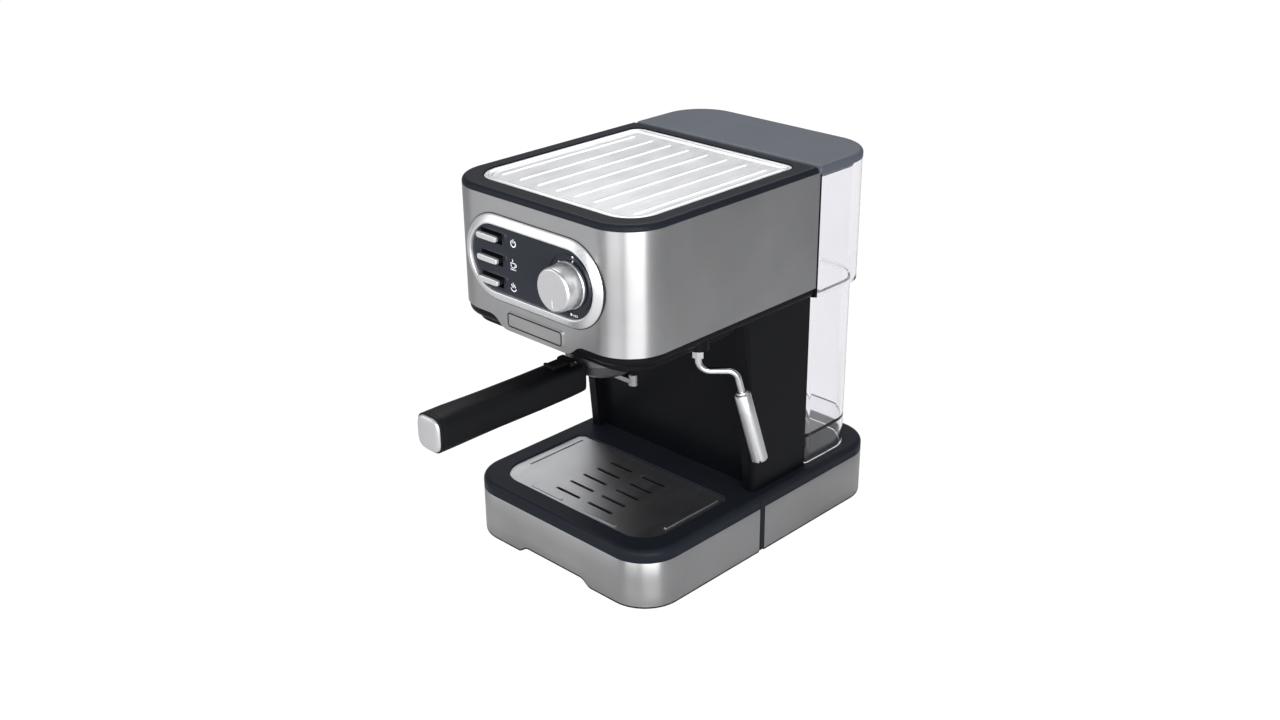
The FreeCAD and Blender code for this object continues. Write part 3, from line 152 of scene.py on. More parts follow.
# ---- base -------------------------------------------------------------------------------------------------
# The base is a moulded slate-black shell with a rounded deck. A strip of brushed stainless steel 0.8 mm thick
# is clipped round its sides and back, and stops at a black strip where the drip tray begins.
def finish(name, tone, roughness, metal=0.0, grain=(900, 900, 900), depth=0.03, shade=0.12, patch=14.0,
           rough_spread=0.08, coat=0.0, brushed=False, marks=0.0, gloss=0.5):
    """Surface whose colour, roughness and relief all vary with the place on the piece.

    A broad cloudy pattern moves the colour by the share shade, and a fine pattern, stretched by grain, moves
    the roughness by rough_spread and gives the relief its depth in tenths of a millimetre. A brushed metal
    also spreads its reflections across the brushing, which runs level round the piece. Marks adds faint
    rubbed patches that are a little rougher than the rest, and gloss is the strength of a plastic's shine."""
    stuff = bpy.data.materials.new(name)
    stuff.use_nodes = True
    tree = stuff.node_tree
    link = tree.links.new
    body = tree.nodes["Principled BSDF"]
    place = tree.nodes.new("ShaderNodeTexCoord")
    cloud = tree.nodes.new("ShaderNodeTexNoise")
    cloud.inputs["Scale"].default_value = patch
    cloud.inputs["Detail"].default_value = 5.0
    link(place.outputs["Object"], cloud.inputs["Vector"])
    stretch = tree.nodes.new("ShaderNodeMapping")
    stretch.inputs["Scale"].default_value = grain
    link(place.outputs["Object"], stretch.inputs["Vector"])
    fine = tree.nodes.new("ShaderNodeTexNoise")
    fine.inputs["Scale"].default_value = 1.0
    fine.inputs["Detail"].default_value = 2.0
    link(stretch.outputs["Vector"], fine.inputs["Vector"])
    both = tree.nodes.new("ShaderNodeMath")
    both.operation = "MULTIPLY_ADD"
    both.inputs[1].default_value = 0.20
    link(fine.outputs["Fac"], both.inputs[0])
    link(cloud.outputs["Fac"], both.inputs[2])
    colour = tree.nodes.new("ShaderNodeValToRGB")
    colour.color_ramp.elements[0].position = 0.4
    colour.color_ramp.elements[0].color = (*[c * (1 - shade) for c in tone], 1)
    colour.color_ramp.elements[1].position = 0.8
    colour.color_ramp.elements[1].color = (*[min(1.0, c * (1 + shade)) for c in tone], 1)
    link(both.outputs[0], colour.inputs["Fac"])
    link(colour.outputs["Color"], body.inputs["Base Color"])
    rough = tree.nodes.new("ShaderNodeMapRange")
    rough.inputs["From Min"].default_value = 0.3
    rough.inputs["From Max"].default_value = 0.7
    rough.inputs["To Min"].default_value = max(0.02, roughness - rough_spread)
    rough.inputs["To Max"].default_value = min(1.0, roughness + rough_spread)
    link(fine.outputs["Fac"], rough.inputs["Value"])
    if marks:
        smear = tree.nodes.new("ShaderNodeTexNoise")
        smear.inputs["Scale"].default_value = patch * 2.4
        smear.inputs["Detail"].default_value = 3.0
        smear.inputs["Distortion"].default_value = 0.6
        link(place.outputs["Object"], smear.inputs["Vector"])
        rubbed = tree.nodes.new("ShaderNodeMath")
        rubbed.operation = "MULTIPLY_ADD"
        rubbed.inputs[1].default_value = marks
        link(smear.outputs["Fac"], rubbed.inputs[0])
        link(rough.outputs["Result"], rubbed.inputs[2])
        link(rubbed.outputs[0], body.inputs["Roughness"])
    else:
        link(rough.outputs["Result"], body.inputs["Roughness"])
    relief = tree.nodes.new("ShaderNodeBump")
    relief.inputs["Strength"].default_value = 0.5
    relief.inputs["Distance"].default_value = depth * 0.0001
    link(fine.outputs["Fac"], relief.inputs["Height"])
    link(relief.outputs["Normal"], body.inputs["Normal"])
    body.inputs["Metallic"].default_value = metal
    body.inputs["Specular IOR Level"].default_value = gloss
    body.inputs["Coat Weight"].default_value = coat
    body.inputs["Coat Roughness"].default_value = 0.08
    if brushed:
        around = tree.nodes.new("ShaderNodeTangent")
        around.direction_type = "RADIAL"
        around.axis = "Z"
        link(around.outputs["Tangent"], body.inputs["Tangent"])
        body.inputs["Anisotropic"].default_value = 0.75
        body.inputs["Anisotropic Rotation"].default_value = 0.25
    return stuff


def wear(stuff, *names):
    """Give carried-over parts their finish."""
    for node in names:
        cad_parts[node].data.materials.clear()
        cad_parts[node].data.materials.append(stuff)


def bent_path(corners, radii, closed=False, step=4.0, turn=0.09):
    """Level path through corners, each rounded to its radius, as rows of x, y and the normal's x, y.

    On a straight run the points stand step apart, and the normal points to the right of travel. At a corner
    the path leaves the run at radius times the tangent of half the turning angle before the corner, and goes
    round a circle about a centre that lies one radius to the inside, in turns of about the angle turn."""
    corners = np.array(corners, float)
    count = len(corners)
    rows = []
    last = None
    order = list(range(count)) + [0] if closed else list(range(count))
    for place, i in enumerate(order):
        here = corners[i]
        before = corners[i - 1] if closed or i > 0 else None
        after = corners[(i + 1) % count] if closed or i < count - 1 else None
        if before is None or after is None:
            start, arc = here, np.empty((0, 4))
            finish_at = here
        else:
            t0 = (here - before) / np.linalg.norm(here - before)
            t1 = (after - here) / np.linalg.norm(after - here)
            angle = math.atan2(t0[0] * t1[1] - t0[1] * t1[0], t0 @ t1)
            side = math.copysign(1.0, angle)
            n0 = np.array((t0[1], -t0[0]))
            reach = radii[i] * math.tan(abs(angle) / 2)
            start = here - t0 * reach
            finish_at = here + t1 * reach
            centre = start - side * n0 * radii[i]
            phi = math.atan2(n0[1], n0[0]) + np.linspace(0, angle, max(3, int(abs(angle) / turn) + 1))
            ray = np.stack((np.cos(phi), np.sin(phi)), 1)
            arc = np.hstack((centre + side * radii[i] * ray, ray))
        if last is not None:
            run = start - last
            length = np.linalg.norm(run)
            t = run / max(length, 1e-9)
            share = np.linspace(0, 1, max(2, int(length / step) + 1))[1:-1, None]
            rows.append(np.hstack((last + share * run, np.tile((t[1], -t[0]), (len(share), 1)))))
            if len(arc) == 0:
                rows.append(np.array([[*here, t[1], -t[0]]]))
        elif len(arc) == 0:
            t = (after - here) / np.linalg.norm(after - here)
            rows.append(np.array([[*here, t[1], -t[0]]]))
        if len(arc) and not (closed and place == count):
            rows.append(arc)
        last = finish_at
    return np.vstack(rows)


def carried(path, profile, lift=None):
    """Grid of points of a profile carried along a path: plan place plus offset times the normal, and height.

    Profile rows are the offset outwards and the height. Lift adds its own height at each place of the path,
    times a third column of the profile."""
    profile = np.array(profile, float)
    plan = path[:, None, :2] + path[:, None, 2:] * profile[None, :, :1]
    height = np.tile(profile[None, :, 1:2], (len(path), 1, 1))
    if lift is not None:
        height = height + lift[:, None, None] * profile[None, :, 2:3]
    return np.concatenate((plan, height), 2)


MILLIMETRE = 0.001


def surface(name, body, stuff, grids, stands_for=(), around=True, along=False, ends=(), crease=38):
    """Make one piece of grids of points in millimetres, each grid a closed or open sheet of quads.

    Around joins each row's last point to its first; along joins the last row to the first. Ends lists the
    rows that are closed with a face. Points that fall together are merged, faces turn outwards, and edges
    sharper than crease degrees stay sharp."""
    faces = []
    count = 0
    for grid in grids:
        index = count + np.arange(grid.shape[0] * grid.shape[1]).reshape(grid.shape[:2])
        count += index.size
        faces += index[list(ends)].tolist()
        if around:
            index = np.hstack((index, index[:, :1]))
        if along:
            index = np.vstack((index, index[:1]))
        quads = np.stack((index[:-1, :-1], index[1:, :-1], index[1:, 1:], index[:-1, 1:]), -1)
        faces += quads.reshape(-1, 4).tolist()
    mesh = bpy.data.meshes.new(name)
    points = np.concatenate([grid.reshape(-1, 3) for grid in grids]) * MILLIMETRE
    mesh.from_pydata(points.tolist(), [], faces)
    shell = bmesh.new()
    shell.from_mesh(mesh)
    bmesh.ops.remove_doubles(shell, verts=shell.verts, dist=1e-6)
    bmesh.ops.recalc_face_normals(shell, faces=shell.faces)
    shell.to_mesh(mesh)
    shell.free()
    mesh.polygons.foreach_set("use_smooth", np.ones(len(mesh.polygons), bool))
    mesh.set_sharp_from_angle(angle=math.radians(crease))
    mesh.materials.append(stuff)
    piece = bpy.data.objects.new(name, mesh)
    bpy.context.scene.collection.objects.link(piece)
    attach(piece, body)
    if stands_for:
        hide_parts(*stands_for)
    return piece


SLATE = finish("slate_plastic", (0.0145, 0.0172, 0.0235), 0.30, grain=(1800, 1800, 1800), depth=0.05,
               rough_spread=0.05, marks=0.10, gloss=0.08)
CASE_BLACK = finish("case_black", (0.0035, 0.0038, 0.0052), 0.30, grain=(1200, 1200, 1200), depth=0.04,
                    marks=0.12, gloss=0.12)
RUBBER = finish("foot_rubber", (0.02, 0.02, 0.02), 0.7, grain=(900, 900, 900), depth=0.3)
PLAIN_STEEL = finish("plain_steel", (0.50, 0.50, 0.51), 0.33, metal=1.0, grain=(400, 400, 1200), depth=0.08)
BRUSHED = finish("brushed_steel", (0.50, 0.50, 0.505), 0.34, metal=1.0, grain=(25, 25, 5000), depth=0.05,
                 shade=0.10, rough_spread=0.05, brushed=True, marks=0.05)
wear(SLATE, "base_shell")
wear(CASE_BLACK, "bottom_plate", "cord_gland")
wear(RUBBER, "rubber_feet")
wear(PLAIN_STEEL, "case_screws")

BASE_X = 102.0
BASE_REAR = 143.0
BASE_R = 33.0
BAND_LOW = 3.0
BAND_TOP = 41.3
BAND_END = -5.9
SHEET = 0.8
# closed section of the strip: offset outwards, height, and 1 where the lower edge may rise
BAND_SECTION = [(0, BAND_LOW + 0.4, 1), (0, 14.0, 0.35), (0, 27.0, 0), (0, BAND_TOP - 0.4, 0),
                (-0.2, BAND_TOP, 0), (-0.6, BAND_TOP, 0), (-SHEET, BAND_TOP - 0.4, 0), (-SHEET, 27.0, 0),
                (-SHEET, 14.0, 0.35), (-SHEET, BAND_LOW + 0.4, 1), (-0.6, BAND_LOW, 1), (-0.2, BAND_LOW, 1)]
# closed section of a thin black strip tucked under the steel strip, which draws the dark line along its foot
FOOT_DARK_SECTION = [(-0.3, 1.7, 1), (-0.15, 2.2, 1), (-0.15, BAND_LOW + 0.1, 1), (-3.0, BAND_LOW + 0.1, 1),
                (-3.0, 2.2, 1), (-2.6, 1.7, 1)]
rear_path = bent_path([(BASE_X, BAND_END), (BASE_X, BASE_REAR), (-BASE_X, BASE_REAR), (-BASE_X, BAND_END)],
                      [0, BASE_R, BASE_R, 0])
surface("rear_band", "machine", BRUSHED, [carried(rear_path, BAND_SECTION)],
        stands_for=("base_band",), ends=(0, -1))
surface("rear_foot_dark_line", "machine", CASE_BLACK, [carried(rear_path, FOOT_DARK_SECTION)],
        ends=(0, -1))

# ---- column and back --------------------------------------------------------------------------------------
# The column is one hollow black moulding screwed to the deck, with a recessed front wall between two thick
# cheeks. The back panel is a flat black moulding with vent slots, and the tank's socket stands on the deck.
wear(CASE_BLACK, "column_shell", "back_panel", "tank_socket")

# ---- upper body -------------------------------------------------------------------------------------------
# One sheet of brushed stainless steel is bent round the front and both sides and hooks behind the rim. A
# moulded chin closes it from below, and a rounded slate rim clips in from above and frames the cup plate.
wear(BRUSHED, "body_wrap")
wear(CASE_BLACK, "chin_shell")
wear(SLATE, "top_rim")

# ---- cup warming plate ------------------------------------------------------------------------------------
# Pressed from bright stainless sheet: a raised border, eight long ribs for the cups to stand on, and two
# small press marks near the front. It lies in the rim's ledge over the boiler.
PRESSED = finish("pressed_steel", (0.80, 0.80, 0.81), 0.34, metal=1.0, grain=(900, 40, 900), depth=0.01,
                 shade=0.08, rough_spread=0.04, marks=0.10)
PLATE_X = 84.4
PLATE_FRONT = -136.0
PLATE_REAR = 43.0
FRONT_R = 24.0
REAR_R = 10.0
PLATE_LOW = 305.0
PLATE_FACE = 306.2
RIB_RISE = 0.9
RIB_HALF = 1.6
RIB_SHARE = 0.6
RIB_PITCH = 19.7
RIB_FRONT = -117.0
RIB_REAR = 23.0
PRESS_MARKS = ((35, -129.2), (52, -129.2))
rib_x = (np.arange(8) - 3.5) * RIB_PITCH
across_rib = np.array([-2.9, -2.2, -1.7, -1.2, -0.6, 0.0, 0.6, 1.2, 1.7, 2.2, 2.9])
border = np.array([0, 0.25, 0.6, 1.2, 2.0, 2.8, 3.4, 4.0, 4.6, 5.2, 6.0, 6.8, 7.6, 8.4, 9.4, 11.5])
column_x = np.sort(np.concatenate(((rib_x[:, None] + across_rib).ravel(), rib_x[:-1] + RIB_PITCH / 2,
                                   rib_x[:-1] + 6, rib_x[:-1] + RIB_PITCH - 6, -PLATE_X + border,
                                   PLATE_X - border)))
rib_end = np.linspace(-3.2, 3.2, 13)
row_y = np.concatenate((PLATE_FRONT + border, PLATE_FRONT + FRONT_R * np.linspace(0, 1, 26) ** 2,
                        RIB_FRONT + rib_end, np.linspace(-111, 15, 14), RIB_REAR + rib_end,
                        PLATE_REAR - border, PLATE_REAR - REAR_R * np.linspace(0, 1, 18) ** 2))
row_y = np.unique(np.round(row_y, 2))


def ease(value):
    """Smooth step: 3 t squared minus 2 t cubed, with t held between 0 and 1."""
    t = np.clip(value, 0, 1)
    return t * t * (3 - 2 * t)


def pressed_plate():
    """Height of the plate over a grid that narrows round the corners.

    The half width at each y is that of a rounded rectangle. With e the distance in from the outline, the
    border rises as a smooth step over the first millimetre, runs level, and falls over e from 3 to 4.4; a
    shallow bead, a bell curve of e, follows at 7. Each rib is a smooth step of the distance to its centre
    line, so it ends in half circles, and each press mark is a small bell-shaped dent."""
    corner = np.where(row_y < 0, FRONT_R, REAR_R)
    inside = np.maximum(0, corner - np.minimum(row_y - PLATE_FRONT, PLATE_REAR - row_y))
    half = PLATE_X - corner + np.sqrt(corner ** 2 - inside ** 2)
    x = column_x[None, :] * (half / PLATE_X)[:, None]
    y = np.tile(row_y[:, None], (1, len(column_x)))
    corner = corner[:, None]
    qx = np.abs(x) - (PLATE_X - corner)
    qy = np.abs(y - (PLATE_FRONT + PLATE_REAR) / 2) - ((PLATE_REAR - PLATE_FRONT) / 2 - corner)
    edge = corner - np.hypot(np.maximum(qx, 0), np.maximum(qy, 0)) - np.minimum(np.maximum(qx, qy), 0)
    rise = ease((edge + 0.4) / 1.0) - ease((edge - 3.0) / 1.4) + 0.45 * np.exp(-((edge - 7.0) / 0.9) ** 2)
    nearest = np.abs(x[:, :, None] - rib_x).min(2)
    beyond = np.maximum(0, np.maximum(RIB_FRONT - y, y - RIB_REAR))
    rise = np.maximum(rise, RIB_SHARE * (1 - ease((np.hypot(nearest, beyond) - 0.5) / (RIB_HALF - 0.5))))
    for mark_x, mark_y in PRESS_MARKS:
        rise = rise - 0.5 * np.exp(-((x - mark_x) ** 2 + (y - mark_y) ** 2) / 1.6)
    return np.stack((x, y, PLATE_FACE + RIB_RISE * rise), 2)


plate = pressed_plate()
rim_loop = np.concatenate((plate[0], plate[1:, -1], plate[-1, -2::-1], plate[-2:0:-1, 0]))
rim_loop = np.concatenate((rim_loop, rim_loop[:1]))
drop = rim_loop * (1, 1, 0) + (0, 0, PLATE_LOW + 0.05)
middle = np.zeros_like(drop) + (0, (PLATE_FRONT + PLATE_REAR) / 2, PLATE_LOW + 0.05)
surface("cup_plate", "machine", PRESSED, [plate, np.stack((rim_loop, drop, middle))],
        stands_for=("warming_plate",), around=False, crease=50)


# ---- control panel ----------------------------------------------------------------------------------------
# A gloss slate panel sits in a convex satin ring, which is clipped through the steel; a thin black ring round
# it is painted shade in the gap.
# The marks on the panel are printed white. The blank name panel below has only its engraved outline, drawn as
# a thin black line of painted shade in the groove.
SATIN = finish("satin_silver", (0.86, 0.86, 0.87), 0.27, metal=0.75, grain=(500, 500, 500), depth=0.01,
               shade=0.04, rough_spread=0.02, marks=0.05)
GLOSS = finish("gloss_panel", (0.016, 0.019, 0.029), 0.12, grain=(300, 300, 300), depth=0.005, coat=0.12,
               rough_spread=0.03, marks=0.08, gloss=0.3)
PRINT = finish("printed_white", (0.93, 0.94, 0.97), 0.5, grain=(2500, 2500, 2500), depth=0.02, shade=0.06)
# near-black finish that stands in for the shade in narrow gaps and grooves: painted shade
GROOVE_SHADE = finish("painted_groove_shade", (0.012, 0.012, 0.013), 0.45, grain=(2000, 2000, 2000), depth=0.05)
wear(GLOSS, "control_panel")
wear(BRUSHED, "badge_plate")
FACE_Z = 257.0
PANEL_FRONT = 153.5


def facing(grid):
    """Stand a level grid up to face the front: its y becomes height, and its height the reach forwards."""
    return np.stack((grid[..., 0], -grid[..., 2], grid[..., 1]), -1)


def rounded_frame(width, height, z, radius):
    """Closed path round a rounded rectangle that faces the front, centred on the machine at height z."""
    w, h = width / 2, height / 2
    return bent_path([(-w, z - h), (w, z - h), (w, z + h), (-w, z + h)], [radius] * 4, closed=True)


# closed section of the ring: offset outwards and reach forwards
BEZEL_SECTION = [(0, 150.6), (0, 155.0), (0.15, 155.5), (0.5, 155.8), (1.0, 155.9), (1.6, 155.75),
                 (3.0, 155.2), (4.6, 154.5), (6.1, 153.8), (6.9, 153.3), (7.3, 152.8), (7.45, 152.1),
                 (6.6, 152.05), (2.7, 152.05), (2.7, 150.6)]
# closed section of the thin black ring round the bezel's foot, which paints the shade in the gap
GAP_SHADE_SECTION = [(7.0, 150.7), (7.0, 152.4), (7.5, 152.55), (8.0, 152.3), (8.05, 150.7)]
bezel_path = rounded_frame(130, 52, FACE_Z, 25.9)
surface("bezel_ring", "machine", SATIN, [facing(carried(bezel_path, BEZEL_SECTION))],
        stands_for=("panel_bezel",), along=True)
surface("bezel_gap_shade", "machine", GROOVE_SHADE, [facing(carried(bezel_path, GAP_SHADE_SECTION))], along=True)
# the name panel's engraved outline is a thin black strip laid on the badge: painted shade in the groove
LINE_SECTION = [(-0.6, 153.1), (-0.6, 153.27), (0.6, 153.27), (0.6, 153.1)]
badge_path = rounded_frame(57.4, 10.4, 211, 2.2)
surface("badge_groove_shade", "machine", GROOVE_SHADE, [facing(carried(badge_path, LINE_SECTION))], along=True)


def drawn(points, width):
    """Flat printed line of the given width along points of x and z, proud by a twentieth of a millimetre.

    The line's two edges stand half the width to each side, along the normal of the local direction."""
    points = np.array(points, float)
    run = np.gradient(points, axis=0)
    run /= np.linalg.norm(run, axis=1)[:, None]
    path = np.hstack((points, np.stack((run[:, 1], -run[:, 0]), 1)))
    half = width / 2
    return facing(carried(path, [(-half, PANEL_FRONT - 0.02), (-half, PANEL_FRONT + 0.05),
                                 (half, PANEL_FRONT + 0.05), (half, PANEL_FRONT - 0.02)]))


def ring_arc(x, z, radius, start, end, rows=24):
    """Points of x and z round an arc, with angles in degrees from +X towards up."""
    a = np.radians(np.linspace(start, end, rows))
    return np.stack((x + radius * np.cos(a), z + radius * np.sin(a)), 1)


KNOB_X = 40.5
POWER_X, CUP_X, STEAM_X = -18.8, -19.6, -20.4
prints = [drawn(ring_arc(POWER_X, 272.6, 2.5, 125, 415), 0.95),
          drawn([(POWER_X, 273.0), (POWER_X, 275.9)], 0.95),
          drawn([(CUP_X - 2.7, 257.4), (CUP_X - 2.4, 255.0), (CUP_X - 1.5, 253.8), (CUP_X + 1.0, 253.8),
                 (CUP_X + 1.9, 255.0), (CUP_X + 2.2, 257.4), (CUP_X - 2.7, 257.4)], 0.8),
          drawn(ring_arc(CUP_X + 2.3, 256.0, 1.1, 100, -90, 9), 0.7),
          drawn([(CUP_X - 3.2, 252.4), (CUP_X + 2.8, 252.4)], 0.7),
          drawn([(CUP_X - 0.9, 258.4), (CUP_X - 0.2, 259.3), (CUP_X - 0.8, 260.3)], 0.8)]
wave = np.linspace(0, 1, 12)
for shift in (-1.6, 0.0, 1.6):
    across = STEAM_X + shift + 0.4 * np.sin(wave * 6.3)
    prints.append(drawn(np.stack((across, 238.2 + wave * (3.8 - shift ** 2 * 0.5)), 1), 0.75))
prints.append(drawn(ring_arc(STEAM_X, 238.4, 3.0, 195, 345), 0.8))
# dots and ticks round the knob: the closed position, two steam marks above, and the open end below
for x, z, radius in ((29.4, 270.9, 0.75), (43.5, 277.8, 0.7), (43.5, 274.6, 0.55), (40.8, 234.2, 0.85)):
    prints.append(drawn(ring_arc(x, z, radius * 0.6, 0, 350, 14), radius * 1.2))
for tick in range(3):
    prints.append(drawn([(43.4 + 1.6 * tick, 233.2), (43.4 + 1.6 * tick, 235.0)], 0.6))
surface("panel_marks", "machine", PRINT, prints, ends=(0, -1))

# ---- keys -------------------------------------------------------------------------------------------------
# Three rocker keys on pivot pins inside the panel. Each is a black lever with a bright plated cap.
KEY_BLACK = finish("key_black", (0.010, 0.010, 0.011), 0.4, grain=(1600, 1600, 1600), depth=0.1)


def signed_power(value, power):
    """The value's size to the power, with the value's sign."""
    return np.sign(value) * np.abs(value) ** power


def key_cap(middle, half, power=0.32, rows=36, columns=48):
    """Rounded bar: x, y and z are the half sizes times powers of sines and cosines of two angles.

    The small power keeps the faces nearly flat and rounds only the edges and ends."""
    u = np.linspace(-math.pi / 2, math.pi / 2, rows)[:, None]
    v = np.linspace(-math.pi, math.pi, columns, endpoint=False)[None, :]
    x = signed_power(np.sin(u), power) * np.ones_like(v)
    y = np.cos(u) ** power * signed_power(np.cos(v), power)
    z = np.cos(u) ** power * signed_power(np.sin(v), power)
    return np.array(middle) + np.stack((x, y, z), -1) * np.array(half)


KEY_X = -43.0
CAP_MIDDLE_Y = -157.75
CAP_HALF = (10.95, 1.72, 2.28)
for key, height in (("power", 273.5), ("coffee", 256.5), ("steam", 239.5)):
    wear(KEY_BLACK, "key_" + key)
    surface("key_cap_" + key, "key_" + key, SATIN,
            [key_cap((KEY_X, CAP_MIDDLE_Y, height), CAP_HALF)], stands_for=("key_" + key + "_tip",),
            crease=60)

# ---- steam knob -------------------------------------------------------------------------------------------
# Turned from aluminium and plated: a flat face with a pointer groove, a bevel, a slightly tapered side and a
# flange at the foot. It is pushed on the steam valve's spindle.
BRASS = finish("valve_brass", (0.62, 0.44, 0.17), 0.3, metal=1.0, grain=(500, 500, 900), depth=0.1)
wear(BRASS, "steam_valve")
wear(PLAIN_STEEL, "valve_spindle")
KNOB_FACE = -171.0
# radius and depth behind the face: the face, then the bevel, side, flange and hollow inside
face_rings = [(0.3, 0.10), (2, 0.10), (4, 0.10), (6, 0.09)]
face_rings += [(r, 0.09 - 0.02 * (r > 10)) for r in np.arange(7, 13.6, 0.5)]
knob_rings = np.array(face_rings + [
    (14.0, 0.04), (14.5, 0.0), (14.9, 0.05), (15.4, 0.35), (15.9, 0.95), (16.15, 1.6), (16.25, 2.2),
    (16.45, 5), (16.6, 8), (16.75, 11), (16.85, 13.6), (16.9, 13.9), (17.2, 14.1), (17.45, 14.4),
    (17.5, 14.8), (17.5, 16.2), (17.3, 16.5), (15.5, 16.55), (15.2, 6.0), (3.2, 5.4), (3.05, 16.5)])


def turned_knob(turns=160):
    """Knob as a turned profile of radius and depth behind the face, with the pointer sunk into the face.

    The groove's depth is a smooth step of the sideways distance to the pointer's line, times one of the
    distance along it."""
    angle = np.linspace(0, 2 * math.pi, turns, endpoint=False)[None, :]
    r, depth = knob_rings[:, :1], knob_rings[:, 1:]
    x, z = r * np.cos(angle), r * np.sin(angle)
    groove = (1 - ease((np.abs(x) - 0.3) / 0.7)) * ease((-z - 6.5) / 1.5) * (1 - ease((-z - 12.2) / 1.2))
    groove = groove * (depth < 0.2) * (r < 14.2)
    return np.stack((KNOB_X + x, KNOB_FACE + depth + 0.5 * groove, FACE_Z + z), -1)


PLATED = finish("plated_silver", (0.95, 0.95, 0.96), 0.33, metal=1.0, grain=(500, 500, 500), depth=0.01,
                shade=0.04, rough_spread=0.02, marks=0.03)
surface("knob_turned", "steam_knob", PLATED, [turned_knob()], stands_for=("knob",),
        ends=(0, -1), crease=50)

# ---- coffee group -----------------------------------------------------------------------------------------
# The brewing head under the chin: a black-coated cast bayonet collar, a rubber gasket and a perforated steel
# screen held by one screw.
COLLAR_BLACK = finish("collar_black", (0.012, 0.013, 0.016), 0.35, metal=0.3, grain=(700, 700, 700),
                      depth=0.1)
wear(COLLAR_BLACK, "group_collar")
wear(RUBBER, "group_gasket")
wear(PLAIN_STEEL, "shower_screen")

# ---- portafilter ------------------------------------------------------------------------------------------
# A cast holder with two bayonet lugs carries a pressed basket and a plated double spout. Its grip is a black
# satin moulding of rounded square section on a steel stud, with a domed silver inlay in its end.
CAST = finish("cast_alloy", (0.16, 0.16, 0.17), 0.45, metal=1.0, grain=(700, 700, 700), depth=0.3,
              shade=0.2)
CHROME = finish("chrome", (0.82, 0.82, 0.84), 0.12, metal=1.0, grain=(500, 500, 500), depth=0.01, shade=0.04,
                rough_spread=0.04, marks=0.05)
# the spout's chrome is toned about half as bright as the wand's: painted shade for where it sits under the
# holder
SPOUT_SHADED_CHROME = finish("spout_chrome_painted_shade", (0.42, 0.42, 0.43), 0.22, metal=1.0, grain=(500, 500, 500),
                      depth=0.01, shade=0.08, rough_spread=0.04, marks=0.08)
GRIP_BLACK = finish("grip_black", (0.0045, 0.0048, 0.0060), 0.40, grain=(2400, 2400, 2400), depth=0.10,
                    shade=0.2, marks=0.12, gloss=0.18)
wear(CAST, "filter_cup")
wear(PLAIN_STEEL, "filter_basket", "handle_bolt", "clip_pin")
wear(SPOUT_SHADED_CHROME, "twin_spout")
wear(GRIP_BLACK, "filter_clip")
# place along y, half width, half height, centre height
GRIP_PLACES = np.array([
    (-113.6, 12.2, 10.6, 162.4), (-114.3, 12.9, 11.3, 162.4), (-117, 13.1, 11.6, 162.4),
    (-130, 13.0, 12.0, 162.2), (-160, 12.8, 12.5, 162.2), (-200, 12.7, 13.1, 162.8),
    (-236, 13.0, 14.0, 163.3), (-250.2, 13.0, 14.0, 163.3), (-250.7, 12.8, 13.8, 163.3),
    (-251.2, 12.8, 13.8, 163.3), (-251.7, 13.0, 14.0, 163.3), (-253.6, 13.0, 14.0, 163.3),
    (-254.0, 12.7, 13.7, 163.3), (-254.0, 12.2, 13.2, 163.3), (-253.2, 12.1, 13.1, 163.3)])


def squared_tube(places, columns=72):
    """Tube along y whose section is a rounded square: half sizes times powers of cosine and sine.

    The power grows from 0.36 at the root, where the corners are tight, to 0.56 at the rounder free end."""
    v = np.linspace(0, 2 * math.pi, columns, endpoint=False)[None, :]
    power = 0.36 + 0.20 * ease((-114 - places[:, :1]) / 122)
    y, w, h, z = [places[:, k:k + 1] for k in range(4)]
    across, rise = w * signed_power(np.cos(v), power), h * signed_power(np.sin(v), power)
    return np.stack((across, y * np.ones_like(v), z + rise), -1)


outside, inside_end = GRIP_PLACES[:13], GRIP_PLACES[13:]
grip_y = np.unique(np.concatenate((outside[:, 0], np.linspace(-118, -249, 40))))[::-1]
grip_rows = np.stack([grip_y] + [np.interp(-grip_y, -outside[:, 0], outside[:, k]) for k in (1, 2, 3)], 1)
grip_rows = np.vstack((grip_rows, inside_end))
CLIP_Y = -121.0
cheek = [key_cap((side * 6.9, CLIP_Y, 173.6), (1.58, 3.95, 3.95), power=0.45, rows=20, columns=32)
         for side in (-1, 1)]
surface("grip_moulding", "portafilter", GRIP_BLACK, [squared_tube(grip_rows)],
        stands_for=("handle_grip",), ends=(0, -1), crease=55)
surface("grip_cheeks", "portafilter", GRIP_BLACK, cheek, crease=60)
CAP_PLACES = np.array([(-253.25, 12.0, 13.0, 163.3), (-254.2, 12.0, 13.0, 163.3), (-254.9, 11.8, 12.8, 163.3),
                       (-255.4, 11.3, 12.3, 163.3), (-255.9, 10.0, 11.0, 163.3), (-256.25, 7.8, 8.6, 163.3),
                       (-256.45, 5.0, 5.5, 163.3), (-256.55, 2.2, 2.4, 163.3), (-256.58, 0.3, 0.3, 163.3)])
INLAY = finish("inlay_silver", (0.66, 0.66, 0.68), 0.34, metal=0.7, grain=(1500, 1500, 1500), depth=0.01,
               shade=0.05, rough_spread=0.03, marks=0.05)
surface("grip_end_inlay", "portafilter", INLAY, [squared_tube(CAP_PLACES)],
        stands_for=("handle_end_cap",), ends=(0, -1), crease=70)

